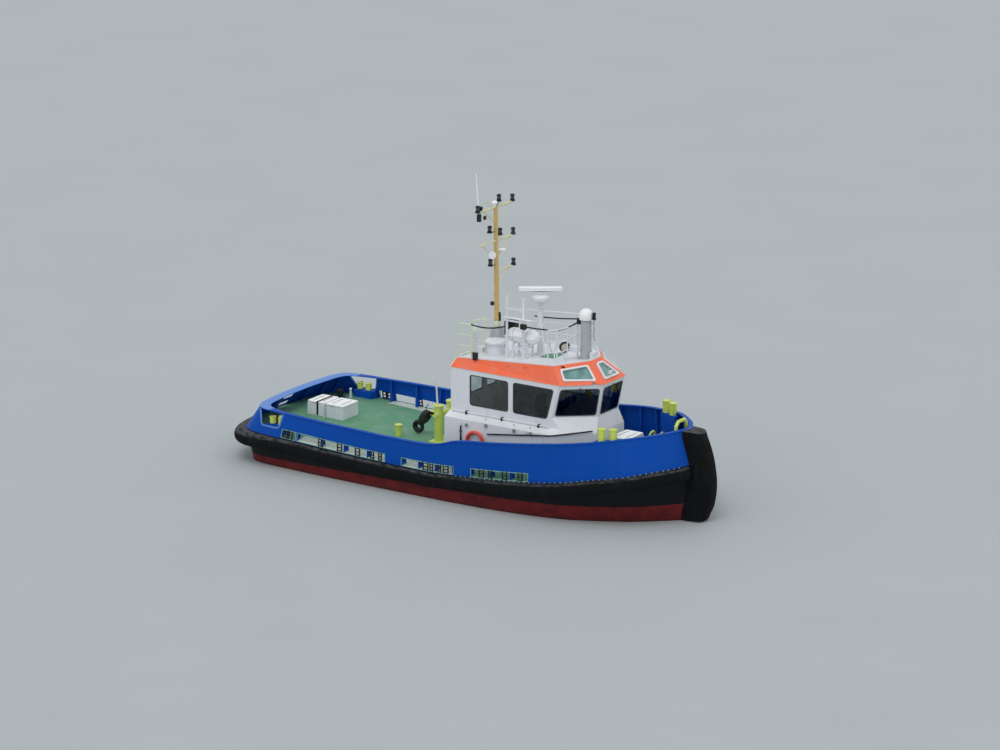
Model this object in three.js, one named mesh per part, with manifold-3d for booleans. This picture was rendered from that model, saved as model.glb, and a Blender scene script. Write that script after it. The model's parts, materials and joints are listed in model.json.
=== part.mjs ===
// Harbour tugboat, about 17 m long, afloat: hull, deck, bulwarks, fenders, wheelhouse, deck gear and stern gear.
// Millimetres. +X runs forward to the bow, +Y to port, +Z up.
// The origin is on the still waterline, on the centreline, half way between the two ends of the fenders.
import * as THREE from "three";
import { mergeVertices } from "three/addons/utils/BufferGeometryUtils.js";
import Module from "manifold-3d";

const wasm = await Module();
wasm.setup();

// Driving dimensions
const GAP = 0.4; // between pieces that touch
const DECK_CAMBER = 140;
const DECK_PLATE = 15;
const BULWARK_PLATE = 20;
const CAP_RAIL = { inboard: 125, stern: 330, outboard: 25, thick: 25 };
const FLOOR_Z = 1800; // wheelhouse floor
const SHOULDER_Z = 2450; // top of the deckhouse sides
const WALL_FOOT_Z = 2600; // where the wheelhouse walls start
const APRON_Z = 2930; // top of the sloping panels below the front windows
const WALL_HEAD_Z = 4000;
const WALL_THICK = 70;
const AFT_X = -290; // outer face of the wheelhouse's aft wall
const HOUSE_HALF = 1500; // half the width of the wheelhouse
const DECKHOUSE_HALF = 1800;
const WINDOW = { sill: 2870, head: 3830 };
const DOOR = { low: 460, high: 1190, foot: 1870, head: 3740, thick: 45, clearance: 6 };
const FENDER_CLEAR = 3; // between a fender and the hull
const PROPELLER = { x: -6450, y: 1150, z: -1060, radius: 520 };
const RUDDER_X = -7150;

// Colours of the real finishes
const paint = (color, roughness = 0.45, metalness = 0.0) => new THREE.MeshStandardMaterial({ color, roughness, metalness });
const BLACK = paint(0x15171a, 0.6);
const BLUE = paint(0x0a3e9b, 0.4);
const GREEN = paint(0x55916e, 0.7);
const WHITE = paint(0xd8dce0, 0.4);
const ORANGE = paint(0xeb5f32, 0.45);
const LIME = paint(0xafc846, 0.5);
const OCHRE = paint(0xb99b5a, 0.6);
const RUBBER = paint(0x141619, 0.85);
const GLASS = paint(0x2c3338, 0.1, 0.1);
const TEAL_GLASS = paint(0x5aa59b, 0.15, 0.1);
const RED = paint(0xd7463c, 0.5);
const GREY = paint(0x8d9296, 0.6, 0.2);
const BRONZE = paint(0xa8803f, 0.35, 0.8);

const tug = new THREE.Group();

// Solids

const v3 = (x, y, z) => new THREE.Vector3(x, y, z);

// A closed three.js geometry as a solid that can be joined and cut.
function solid(geometry) {
  const loose = geometry.index ? geometry.toNonIndexed() : geometry;
  const bare = new THREE.BufferGeometry();
  bare.setAttribute("position", loose.getAttribute("position"));
  const merged = mergeVertices(bare, 1e-3);
  const triangles = [];
  const index = merged.index.array;
  for (let i = 0; i < index.length; i += 3) {
    const [a, b, c] = [index[i], index[i + 1], index[i + 2]];
    if (a !== b && b !== c && a !== c) triangles.push(a, b, c);
  }
  const made = new wasm.Manifold(
    new wasm.Mesh({
      numProp: 3,
      vertProperties: new Float32Array(merged.attributes.position.array),
      triVerts: new Uint32Array(triangles),
    }),
  );
  if (made.volume() > 0) return made;
  for (let i = 0; i < triangles.length; i += 3) [triangles[i], triangles[i + 1]] = [triangles[i + 1], triangles[i]];
  return new wasm.Manifold(
    new wasm.Mesh({
      numProp: 3,
      vertProperties: new Float32Array(merged.attributes.position.array),
      triVerts: new Uint32Array(triangles),
    }),
  );
}

function geometryOf(made) {
  const mesh = made.getMesh();
  const geometry = new THREE.BufferGeometry();
  geometry.setAttribute("position", new THREE.BufferAttribute(new Float32Array(mesh.vertProperties), 3));
  geometry.setIndex(new THREE.BufferAttribute(new Uint32Array(mesh.triVerts), 1));
  geometry.computeVertexNormals();
  return geometry;
}

function add(name, made, material) {
  const mesh = new THREE.Mesh(geometryOf(made), material.clone());
  mesh.name = name;
  tug.add(mesh);
  return mesh;
}

const join = (solids) => solids.reduce((sum, next) => sum.add(next));

// The same solid on the other side of the centreline.
function mirrored(made) {
  const mesh = made.getMesh();
  const points = new Float32Array(mesh.vertProperties);
  for (let i = 1; i < points.length; i += 3) points[i] = -points[i];
  const geometry = new THREE.BufferGeometry();
  geometry.setAttribute("position", new THREE.BufferAttribute(points, 3));
  geometry.setIndex(new THREE.BufferAttribute(new Uint32Array(mesh.triVerts), 1));
  return solid(geometry);
}

const box = (x0, x1, y0, y1, z0, z1) =>
  solid(new THREE.BoxGeometry(x1 - x0, y1 - y0, z1 - z0).translate((x0 + x1) / 2, (y0 + y1) / 2, (z0 + z1) / 2));

// A round bar or cone between two points.
function bar(from, to, radius, endRadius = radius, sides = 12) {
  const along = to.clone().sub(from);
  const geometry = new THREE.CylinderGeometry(endRadius, radius, along.length(), sides);
  geometry.applyQuaternion(new THREE.Quaternion().setFromUnitVectors(v3(0, 1, 0), along.clone().normalize()));
  const middle = from.clone().add(to).multiplyScalar(0.5);
  return solid(geometry.translate(middle.x, middle.y, middle.z));
}

const post = (x, y, z0, z1, radius, endRadius = radius, sides = 16) => bar(v3(x, y, z0), v3(x, y, z1), radius, endRadius, sides);

const ball = (centre, radius, sides = 12) =>
  solid(new THREE.SphereGeometry(radius, sides, Math.ceil(sides / 2)).translate(centre.x, centre.y, centre.z));

// A flat outline of [a, b] corners given a thickness along one axis: "x" takes (y, z), "y" takes (x, z), "z" takes (x, y).
function slab(outline, axis, from, to) {
  const shape = new THREE.Shape(outline.map(([a, b]) => new THREE.Vector2(a, b)));
  const flat = new THREE.ExtrudeGeometry(shape, { depth: to - from, bevelEnabled: false });
  const place = new THREE.Matrix4();
  if (axis === "x") place.makeBasis(v3(0, 1, 0), v3(0, 0, 1), v3(1, 0, 0)).setPosition(from, 0, 0);
  if (axis === "y") place.makeBasis(v3(1, 0, 0), v3(0, 0, 1), v3(0, 1, 0)).setPosition(0, from, 0);
  if (axis === "z") place.setPosition(0, 0, from);
  return solid(flat.applyMatrix4(place));
}

// Closed sections of the same number of points, skinned in order, with a flat cap at each end.
function loft(sections) {
  const count = sections[0].length;
  const points = sections.flat();
  const triangles = [];
  sections.slice(1).forEach((_, k) => {
    for (let i = 0; i < count; i += 1) {
      const a = k * count + i;
      const b = k * count + ((i + 1) % count);
      triangles.push(a, b, b + count, a, b + count, a + count);
    }
  });
  const cap = (section, offset, flip) => {
    const normal = v3(0, 0, 0);
    section.forEach((p, i) => normal.add(p.clone().cross(section[(i + 1) % count])));
    const turn = new THREE.Quaternion().setFromUnitVectors(normal.normalize(), v3(0, 0, 1));
    const flat = section.map((p) => p.clone().applyQuaternion(turn)).map((p) => new THREE.Vector2(p.x, p.y));
    THREE.ShapeUtils.triangulateShape(flat, []).forEach(([a, b, c]) => {
      triangles.push(offset + a, offset + (flip ? c : b), offset + (flip ? b : c));
    });
  };
  cap(sections[0], 0, true);
  cap(sections[sections.length - 1], (sections.length - 1) * count, false);
  return surface(points, triangles);
}

// A round bar that follows a row of points, with a mitred bend at each.
function pipe(points, radius, sides = 8) {
  const directions = points.slice(1).map((p, i) => p.clone().sub(points[i]).normalize());
  const side = v3(0, 0, 1).cross(directions[0]);
  if (side.length() < 0.1) side.set(0, 1, 0);
  side.normalize();
  const sections = points.map((point, i) => {
    const before = directions[Math.max(0, i - 1)];
    const after = directions[Math.min(i, directions.length - 1)];
    const tangent = before.clone().add(after).normalize();
    const section = Array.from({ length: sides }, (_, j) => {
      const offset = side.clone().applyAxisAngle(before, (2 * Math.PI * j) / sides).multiplyScalar(radius);
      return offset.addScaledVector(before, -offset.dot(tangent) / before.dot(tangent)).add(point);
    });
    side.applyQuaternion(new THREE.Quaternion().setFromUnitVectors(before, after));
    return section;
  });
  return loft(sections);
}

function surface(points, triangles) {
  const geometry = new THREE.BufferGeometry();
  geometry.setAttribute("position", new THREE.Float32BufferAttribute(points.flatMap((p) => [p.x, p.y, p.z]), 3));
  geometry.setIndex(triangles);
  return solid(geometry);
}

// The hull's lines, port side, from the middle of the stern to the stem.
// Columns: deck edge x, y, z; cap rail x, y, z; waterline x, y; chine x, y, z; keel edge x, y, z.
const LINES = [
  [-8100, 0, 1060, -7450, 0, 1830, -7860, 0, -7780, 0, -220, -7700, 0, -300],
  [-8010, 1250, 1060, -7400, 1200, 1830, -7800, 1200, -7730, 1150, -220, -7660, 70, -310],
  [-7830, 2060, 1060, -7290, 2000, 1830, -7650, 1960, -7590, 1880, -225, -7500, 100, -330],
  [-7560, 2480, 1058, -7110, 2340, 1830, -7420, 2330, -7370, 2230, -230, -7250, 100, -360],
  [-7120, 2690, 1050, -6830, 2480, 1825, -7050, 2520, -7020, 2420, -250, -6900, 100, -410],
  [-5300, 2790, 1010, -5300, 2630, 1810, -5300, 2660, -5300, 2560, -390, -5300, 100, -760],
  [-3200, 2800, 930, -3200, 2770, 1790, -3200, 2710, -3200, 2620, -580, -3200, 100, -1280],
  [-500, 2800, 880, -500, 2790, 1780, -500, 2730, -500, 2640, -720, -500, 100, -1560],
  [100, 2800, 890, 100, 2790, 1855, 100, 2730, 100, 2640, -725, 100, 100, -1580],
  [700, 2800, 925, 700, 2790, 2040, 700, 2720, 700, 2620, -725, 700, 100, -1590],
  [2200, 2790, 1030, 2180, 2770, 2210, 2200, 2640, 2200, 2480, -700, 2200, 100, -1590],
  [3500, 2740, 1150, 3480, 2680, 2370, 3500, 2470, 3480, 2230, -650, 3450, 100, -1560],
  [4560, 2620, 1300, 4480, 2545, 2500, 4540, 2210, 4500, 1880, -600, 4400, 100, -1480],
  [5430, 2400, 1460, 5290, 2260, 2600, 5380, 1830, 5300, 1460, -550, 5200, 100, -1360],
  [6400, 2020, 1620, 6150, 1810, 2725, 6260, 1330, 6120, 960, -500, 5900, 95, -1170],
  [7030, 1500, 1735, 6800, 1210, 2795, 6900, 830, 6700, 540, -450, 6400, 85, -950],
  [7500, 900, 1800, 7200, 740, 2845, 7350, 430, 7080, 290, -420, 6800, 75, -720],
  [7760, 370, 1828, 7460, 300, 2880, 7600, 180, 7300, 120, -405, 7000, 55, -570],
  [7840, 0, 1835, 7560, 0, 2895, 7680, 0, 7380, 0, -400, 7080, 0, -520],
];
const rows = LINES.map(([dx, dy, dz, rx, ry, rz, wx, wy, cx, cy, cz, kx, ky, kz]) => ({
  deck: v3(dx, dy, dz),
  rail: v3(rx, ry, rz),
  water: v3(wx, wy, 0),
  chine: v3(cx, cy, cz),
  keel: v3(kx, ky, kz),
}));

// Each line as one closed curve, clockwise seen from above; s runs 0 at the stern, 1 at the stem, 2 at the stern again.
const closedLine = (key) => {
  const port = rows.map((row) => row[key]);
  const starboard = port.slice(1, -1).reverse().map((p) => v3(p.x, -p.y, p.z));
  return new THREE.CatmullRomCurve3([...port, ...starboard], true, "centripetal");
};
const lines = Object.fromEntries(["deck", "rail", "water", "chine", "keel"].map((key) => [key, closedLine(key)]));
const at = (key, s) => lines[key].getPoint((((s % 2) + 2) % 2) / 2);

// The level direction that points out of the hull at s.
function outward(s) {
  const step = at("deck", s + 1e-3).sub(at("deck", s - 1e-3));
  return v3(-step.y, step.x, 0).normalize();
}

// s of a row of LINES on the port side; the starboard side is 2 - s.
const rowS = (i) => i / (rows.length - 1);
const SPLIT = 2; // steps between two rows
const STEP = rowS(1) / SPLIT;

const JOINT_S = 1e-5; // a hair's breadth of s between two lengths of bulwark or fender

// The s on the port side where the deck edge passes a given x.
function sAtX(x, low = rowS(4), high = 1) {
  for (let i = 0; i < 30; i += 1) {
    const middle = (low + high) / 2;
    if (at("deck", middle).x < x) low = middle;
    else high = middle;
  }
  return (low + high) / 2;
}

// The deck is crowned across: a point at share k of the way from the centreline to the edge.
const HULL_HALF = 2800;
const crownRise = (edge, k) => DECK_CAMBER * (edge.y / HULL_HALF) ** 2 * (1 - k * k);
const crowned = (edge, k, lift = 0) => v3(edge.x, edge.y * k, edge.z + lift + crownRise(edge, k));
const CROWN_SHARES = [0.6, 0, -0.6];
const SAMPLES = (rows.length - 1) * SPLIT * 2;
const HALF_WAY = SAMPLES / 2;

const deckZ = (x, y) => {
  const edge = at("deck", sAtX(x, 0));
  return crowned(edge, Math.min(1, Math.abs(y) / edge.y)).z;
};

// A body skinned over closed lines from the top down; grow moves its sides outward. The top is crowned, the bottom flat.
function ringBody(keys, grow = 0) {
  const points = keys.flatMap((key) =>
    Array.from({ length: SAMPLES }, (_, i) => at(key, i * STEP).addScaledVector(outward(i * STEP), grow)));
  const triangles = [];
  keys.slice(1).forEach((_, k) => {
    for (let i = 0; i < SAMPLES; i += 1) {
      const a = k * SAMPLES + i;
      const b = k * SAMPLES + ((i + 1) % SAMPLES);
      if (i < HALF_WAY) triangles.push(a, b, a + SAMPLES, b, b + SAMPLES, a + SAMPLES);
      else triangles.push(a, b, b + SAMPLES, a, b + SAMPLES, a + SAMPLES);
    }
  });
  const bottom = (keys.length - 1) * SAMPLES;
  const across = (i) => (SAMPLES - i) % SAMPLES;
  for (let i = 0; i < HALF_WAY; i += 1) {
    triangles.push(bottom + i, bottom + across(i + 1), bottom + across(i));
    triangles.push(bottom + i, bottom + i + 1, bottom + across(i + 1));
  }
  const crown = points.length;
  for (let i = 1; i < HALF_WAY; i += 1) points.push(...CROWN_SHARES.map((k) => crowned(points[i], k)));
  const strip = (i) => {
    const inner = i % HALF_WAY === 0 ? CROWN_SHARES.map(() => i) : CROWN_SHARES.map((_, j) => crown + (i - 1) * CROWN_SHARES.length + j);
    return [i, ...inner, across(i)];
  };
  for (let i = 0; i < HALF_WAY; i += 1) {
    const here = strip(i);
    const next = strip(i + 1);
    for (let j = 0; j < here.length - 1; j += 1) {
      triangles.push(here[j], here[j + 1], next[j + 1], here[j], next[j + 1], next[j]);
    }
  }
  return surface(points, triangles);
}

// Hull: skinned over its lines, with a centre skeg aft.
const HULL_KEYS = ["deck", "water", "chine", "keel"];
const SKEG = { half: 90, outline: [[-7000, -250], [-6900, -1780], [-3400, -1780], [-1400, -1570], [-1400, -1200], [-3200, -900]] };
add("hull", ringBody(HULL_KEYS).add(slab(SKEG.outline, "y", -SKEG.half, SKEG.half)), BLACK);
const hullRoom = ringBody(HULL_KEYS, FENDER_CLEAR);

// A crowned block from one height above the hull's top to another.
function deckBlock(low, high) {
  const sections = [];
  for (let i = 1; i < HALF_WAY; i += 1) {
    const edge = at("deck", i * STEP);
    const row = (lift) => [1, ...CROWN_SHARES, -1].map((k) => crowned(edge, k, lift));
    sections.push([...row(low), ...row(high).reverse()]);
  }
  return loft(sections);
}

// The outline of a closed line, moved outward and seen from above.
const outlineOf = (key, grow) =>
  Array.from({ length: SAMPLES }, (_, i) => at(key, i * STEP).addScaledVector(outward(i * STEP), grow)).map((p) => [p.x, p.y]);

// Main deck: one crowned plate inside the bulwarks.
const DECK_INSET = BULWARK_PLATE + 25;
const deckTop = 1 + GAP + DECK_PLATE;
add("main_deck", deckBlock(1 + GAP, deckTop).intersect(slab(outlineOf("deck", -DECK_INSET), "z", 0, 3000)), GREEN);
const underDeck = deckBlock(-900, deckTop + GAP);
const onDeck = (made) => made.subtract(underDeck);

// 1 round the stern, easing to 0 over the first length of each side.
function sternShare(s) {
  const share = THREE.MathUtils.clamp((rowS(5) - Math.abs(s)) / (rowS(5) - rowS(3.6)), 0, 1);
  return share * share * (3 - 2 * share);
}

// Bulwarks: a leaning plate with a flat cap rail, lofted from section to section along the deck edge.
function bulwarkSection(s) {
  const out = outward(s);
  const inboard = CAP_RAIL.inboard + (CAP_RAIL.stern - CAP_RAIL.inboard) * sternShare(s);
  const foot = at("deck", s).addScaledVector(out, -2).add(v3(0, 0, GAP + 1));
  const head = at("rail", s);
  const corner = (base, offset, lift) => base.clone().addScaledVector(out, offset).add(v3(0, 0, lift));
  return [
    corner(foot, 0, 0),
    corner(head, 0, -CAP_RAIL.thick),
    corner(head, CAP_RAIL.outboard, -CAP_RAIL.thick),
    corner(head, CAP_RAIL.outboard, 0),
    corner(head, -inboard, 0),
    corner(head, -inboard, -CAP_RAIL.thick),
    corner(head, -BULWARK_PLATE, -CAP_RAIL.thick),
    corner(foot, -BULWARK_PLATE, 12),
  ];
}

// The hull's own steps of s between two limits, with the limits themselves.
function stations(from, to) {
  const list = [from];
  for (let i = Math.ceil(from / STEP + 0.01); i * STEP < to - STEP * 0.01; i += 1) list.push(i * STEP);
  return [...list, to];
}
const bulwark = (from, to) => loft(stations(from, to).map(bulwarkSection));

// A triangular stay inside the bulwark at s, from the deck to just under the cap rail.
const STAY = { thick: 16, foot: 230, top: 90 };
function stay(s) {
  const out = outward(s);
  const side = v3(-out.y, out.x, 0).multiplyScalar(STAY.thick / 2);
  const foot = at("deck", s).addScaledVector(out, -2 - BULWARK_PLATE / 2);
  const head = at("rail", s).addScaledVector(out, -BULWARK_PLATE / 2);
  const rise = DECK_PLATE + 45;
  const outline = [
    foot.clone().add(v3(0, 0, rise)),
    foot.clone().addScaledVector(out, -STAY.foot).add(v3(0, 0, rise + 20)),
    head.clone().addScaledVector(out, -STAY.top).add(v3(0, 0, -CAP_RAIL.thick / 2)),
    head.clone().add(v3(0, 0, -CAP_RAIL.thick / 2)),
  ];
  return loft([outline.map((p) => p.clone().add(side)), outline.map((p) => p.clone().sub(side))]);
}

// Freeing ports at the foot of the bulwarks, as [aft x, forward x]; stays stand in the gaps.
const FREEING_PORTS = [
  [-6000, -5480], [-5370, -4500], [-4350, -3600], [-3450, -2700], [-2550, -1950],
  [-1230, -720], [-600, -90], [30, 560],
  [1330, 1980], [2110, 2700], [2830, 3400],
];
const PORT_LOW = 30;
const PORT_HIGH = 290;
function freeingPort([aft, fore]) {
  const z = at("deck", sAtX((aft + fore) / 2)).z;
  return box(aft, fore, 2500, 3000, z + PORT_LOW, z + PORT_HIGH);
}

// The opening in each quarter for the lines of the aft bitts, as (x, z) corners.
const QUARTER_OPENING = [[-6795, 1310], [-6860, 1370], [-7040, 1780], [-6000, 1780], [-6110, 1370], [-6160, 1310]];
const quarterCut = slab(QUARTER_OPENING, "y", 2200, 2950);
// The fore bitts stand against the bulwarks, so the cap rail is notched round their posts.
const FORE_BITT = { posts: [[5560, 1900], [5890, 1760]], radius: 117 };
const STAYS_X = [-5425, -4425, -3525, -2625, -1900, -1300, -660, -30, 620, 1270, 2045, 2765, 3460, 4300, 5050];
const SIDE_FROM = rowS(4);
const SIDE_TO = rowS(14);
const bittNotches = FORE_BITT.posts.map(([x, y]) => post(x, y, 2500, 2900, FORE_BITT.radius + 2, FORE_BITT.radius + 2, 24));
const portSide = bulwark(SIDE_FROM, SIDE_TO).add(onDeck(join(STAYS_X.map((x) => stay(sAtX(x))))))
  .subtract(join(FREEING_PORTS.map(freeingPort)))
  .subtract(join(bittNotches))
  .subtract(quarterCut);
add("bulwark_port", portSide, BLUE);
add("bulwark_starboard", mirrored(portSide), BLUE);

const bothSides = (made) => made.add(mirrored(made));
const sternStays = onDeck(join([0.7, 1.6, 2.6].map((i) => stay(rowS(i)))));
add("bulwark_stern", bothSides(bulwark(0, SIDE_FROM - JOINT_S).add(sternStays).subtract(quarterCut)), BLUE);
const bowStays = onDeck(join([15.5, 16.6].map((i) => stay(rowS(i)))));
add("bulwark_bow", bothSides(bulwark(SIDE_TO + JOINT_S, 1).add(bowStays)), BLUE);

// Fenders: a D section along the deck edge, as [share of its depth outward, share of its height down].
const FENDER = { top: 30, height: 430, side: 180, stern: 400, sunk: 60 };
const FENDER_PROFILE = [[0.72, 0], [0.92, 0.1], [1, 0.3], [1, 0.62], [0.9, 0.85], [0.66, 1]];

function fenderSection(s, depth) {
  const out = outward(s);
  const top = at("deck", s).add(v3(0, 0, -FENDER.top));
  const place = (offset, drop) => top.clone().addScaledVector(out, offset).add(v3(0, 0, -drop));
  return [
    place(-FENDER.sunk, 0),
    ...FENDER_PROFILE.map(([share, drop]) => place(share * depth, drop * FENDER.height)),
    place(-FENDER.sunk * 4, FENDER.height),
  ];
}

// The stern fender is deeper and eases into the side fenders.
const fenderDepth = (s) => FENDER.side + (FENDER.stern - FENDER.side) * sternShare(s);
function fender(from, to, steps) {
  const sections = [];
  for (let i = 0; i <= steps; i += 1) {
    const s = from + ((to - from) * i) / steps;
    sections.push(fenderSection(s, fenderDepth(s)));
  }
  return loft(sections).subtract(hullRoom);
}
const FENDER_FROM = rowS(5);
const FENDER_TO = rowS(16.7);
const portFender = fender(FENDER_FROM, FENDER_TO, 24);
add("fender_port", portFender, RUBBER);
add("fender_starboard", mirrored(portFender), RUBBER);
add("fender_stern", fender(-FENDER_FROM + JOINT_S, FENDER_FROM - JOINT_S, 28), RUBBER);

// Bow fender: an upright block over the stem, as [height, front x, half width at the front].
const BOW_FENDER = { half: 350, aft: 7350, capClear: 29 };
const BOW_LEVELS = [
  [40, 8120, 250], [260, 8330, 300], [700, 8450, 320], [1200, 8500, 330], [1700, 8440, 330],
  [2200, 8330, 325], [2550, 8180, 320], [2870, 8040, 310],
];
function bowFender() {
  const { half, aft } = BOW_FENDER;
  const sections = BOW_LEVELS.map(([z, front, halfFront]) => {
    const soft = (front - aft) * 0.25;
    return [
      v3(aft, -half, z), v3(front - soft, -half, z), v3(front - soft * 0.35, -halfFront, z),
      v3(front - soft * 0.08, -halfFront * 0.6, z), v3(front, 0, z), v3(front - soft * 0.08, halfFront * 0.6, z),
      v3(front - soft * 0.35, halfFront, z), v3(front - soft, half, z), v3(aft, half, z),
    ];
  });
  const stem = ringBody(["rail", ...HULL_KEYS], FENDER_CLEAR);
  const capRoom = slab(outlineOf("rail", BOW_FENDER.capClear), "z", 2820, 3000);
  return loft(sections).subtract(stem).subtract(capRoom);
}
add("bow_fender", bowFender(), RUBBER);

// House plans: corners on both sides, from the port aft corner round the front to the starboard aft corner.
const ringAt = (z, aft, half, cornerX, frontX, frontHalf) => [
  v3(aft, half, z), v3(cornerX, half, z), v3(frontX, frontHalf, z),
  v3(frontX, -frontHalf, z), v3(cornerX, -half, z), v3(aft, -half, z),
];

// The same plan drawn in on every side by an inset.
const insetRing = (z, inset, aft, half, cornerX, frontX, frontHalf) =>
  ringAt(z, aft + inset, half - inset, cornerX - 0.4 * inset, frontX - inset, frontHalf - 0.45 * inset);

// The front of the wheelhouse leans out as it rises.
const cornerLine = (z) => 3740 + 0.243 * (z - WALL_HEAD_Z);
const wheelhouseRing = (z, inset = 0) => {
  const rise = z - WALL_HEAD_Z;
  return insetRing(z, inset, AFT_X, HOUSE_HALF, cornerLine(z), 4810 + 0.193 * rise, 630 + 0.04 * rise);
};
const lowerRing = (z) => ringAt(z, -330, DECKHOUSE_HALF, 3690, 4680, 800);

// Everything forward of the line where a side wall meets the front, moved by an offset.
const forwardZone = (offset) => slab(
  [[cornerLine(2000) + offset, 2000], [6000, 2000], [6000, 4500], [cornerLine(4500) + offset, 4500]], "y", -2000, 2000);

// Deckhouse: solid up to the wheelhouse floor and hollow above it, with sloping shoulders and a front apron.
const room = loft([wheelhouseRing(FLOOR_Z, WALL_THICK), wheelhouseRing(4400, WALL_THICK)]);
const doorway = box(AFT_X - 200, AFT_X + WALL_THICK + 60, DOOR.low - DOOR.clearance, DOOR.high + DOOR.clearance,
  DOOR.foot - DOOR.clearance, DOOR.head + DOOR.clearance);
function deckhouse() {
  const shoulders = slab(
    [[-DECKHOUSE_HALF, SHOULDER_Z - 1], [DECKHOUSE_HALF, SHOULDER_Z - 1], [HOUSE_HALF, WALL_FOOT_Z], [HOUSE_HALF, 3100],
      [-HOUSE_HALF, 3100], [-HOUSE_HALF, WALL_FOOT_Z]], "x", -1000, 6000);
  const upper = loft([lowerRing(SHOULDER_Z - 1), wheelhouseRing(APRON_Z)]).intersect(shoulders);
  const wallPlace = box(-1000, 6000, -2000, 2000, WALL_FOOT_Z, 3100).subtract(forwardZone(GAP));
  return onDeck(loft([lowerRing(600), lowerRing(SHOULDER_Z)]).add(upper))
    .subtract(room).subtract(doorway).subtract(wallPlace);
}
add("deckhouse", deckhouse(), WHITE);

// A flat polygon of points drawn in by one margin, or by one margin per edge, with rounded corners.
function pane(corners, margins, radius) {
  const normal = v3(0, 0, 0);
  corners.forEach((p, i) => normal.add(p.clone().cross(corners[(i + 1) % corners.length])));
  normal.normalize();
  const count = corners.length;
  const margin = (i) => (Array.isArray(margins) ? margins[(i + count) % count] : margins);
  const along = (i) => corners[(i + 1) % count].clone().sub(corners[(i + count) % count]).normalize();
  const inset = corners.map((p, i) => {
    const [before, after] = [along(i - 1), along(i)];
    const [inBefore, inAfter] = [normal.clone().cross(before), normal.clone().cross(after)];
    return p.clone()
      .addScaledVector(before, margin(i) / before.dot(inAfter))
      .addScaledVector(after, margin(i - 1) / after.dot(inBefore));
  });
  return inset.flatMap((p, i) => {
    const back = inset[(i + count - 1) % count].clone().sub(p).setLength(radius).add(p);
    const on = inset[(i + 1) % count].clone().sub(p).setLength(radius).add(p);
    return [0, 0.35, 0.65, 1].map((t) => new THREE.QuadraticBezierCurve3(back, p, on).getPoint(t));
  });
}

// A flat polygon of points given a thickness along its own normal.
function plate(corners, from, to) {
  const normal = v3(0, 0, 0);
  corners.forEach((p, i) => normal.add(p.clone().cross(corners[(i + 1) % corners.length])));
  normal.normalize();
  return loft([from, to].map((offset) => corners.map((p) => p.clone().addScaledVector(normal, offset))));
}

// Wheelhouse walls: a leaning shell cut into two sides, the front and the aft end. Behind each window the wall is
// rebated from inside, so that its glass sits close to the outer face.
const SKIN = 14;
const GLASS_THICK = 8;
const REBATE = { low: 2810, high: 3890, edge: 50 };
const shell = loft([wheelhouseRing(WALL_FOOT_Z + GAP), wheelhouseRing(WALL_HEAD_Z)])
  .subtract(loft([wheelhouseRing(2500, WALL_THICK), wheelhouseRing(4100, WALL_THICK)]));
const betweenSkins = (near, far) => loft([wheelhouseRing(2500, near), wheelhouseRing(4100, near)])
  .subtract(loft([wheelhouseRing(2500, far), wheelhouseRing(4100, far)]));
const rebateSkins = betweenSkins(SKIN, WALL_THICK + 5);
const glassSkins = betweenSkins(SKIN + GAP, SKIN + GAP + GLASS_THICK);

// Side windows as [aft x, forward x at the sill, forward x at the head].
const SIDE_WINDOWS = [[440, 1850, 1850], [2060, 3290, 3540]];
const SIDE_CORNER = 90;
const sideWindows = join(SIDE_WINDOWS.map(([aft, foreLow, foreHigh]) => {
  const corners = [[aft, WINDOW.sill], [foreLow, WINDOW.sill], [foreHigh, WINDOW.head], [aft, WINDOW.head]];
  return plate(pane(corners.map(([x, z]) => v3(x, HOUSE_HALF, z)), 0, SIDE_CORNER), -200, 200);
}));
const sideRebate = (clear) => slab(
  [[370 + clear, REBATE.low + clear], [3345 - clear, REBATE.low + clear], [3605 - clear, REBATE.high - clear],
    [370 + clear, REBATE.high - clear]], "y", 1000, 1600);
const aftEnd = AFT_X + WALL_THICK;
const sideWall = shell.intersect(box(aftEnd + GAP, 5000, 0, 2000, 2000, 5000)).subtract(forwardZone(0))
  .subtract(rebateSkins.intersect(sideRebate(0))).subtract(sideWindows);
add("wall_port", sideWall, WHITE);
add("wall_starboard", mirrored(sideWall), WHITE);
const sideGlass = glassSkins.intersect(sideRebate(2));
add("glass_port", sideGlass, GLASS);
add("glass_starboard", mirrored(sideGlass), GLASS);

// Front windows: one in the middle facet and one in each quarter facet.
const FRONT_MARGINS = [60, 90, 150, 90];
const FRONT_CORNER = 90;
const facet = (i) => {
  const [low, high] = [wheelhouseRing(APRON_Z), wheelhouseRing(WALL_HEAD_Z)];
  return [low[i], high[i], high[i + 1], low[i + 1]];
};
const frontPanes = [1, 2, 3].map((i) => {
  const [a, b, c, d] = facet(i);
  return plate(pane([d, a, b, c], FRONT_MARGINS, FRONT_CORNER), -150, 150);
});
const frontRebate = (clear) => forwardZone(40 + clear).intersect(
  box(3000, 6000, -2000, 2000, APRON_Z + 35 + clear, REBATE.high - clear));
add("wall_front", shell.intersect(forwardZone(GAP)).intersect(box(3000, 6000, -2000, 2000, APRON_Z + GAP, 4500))
  .subtract(rebateSkins.intersect(frontRebate(0))).subtract(join(frontPanes)), WHITE);
add("glass_front", glassSkins.intersect(frontRebate(2)), GLASS);

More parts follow.
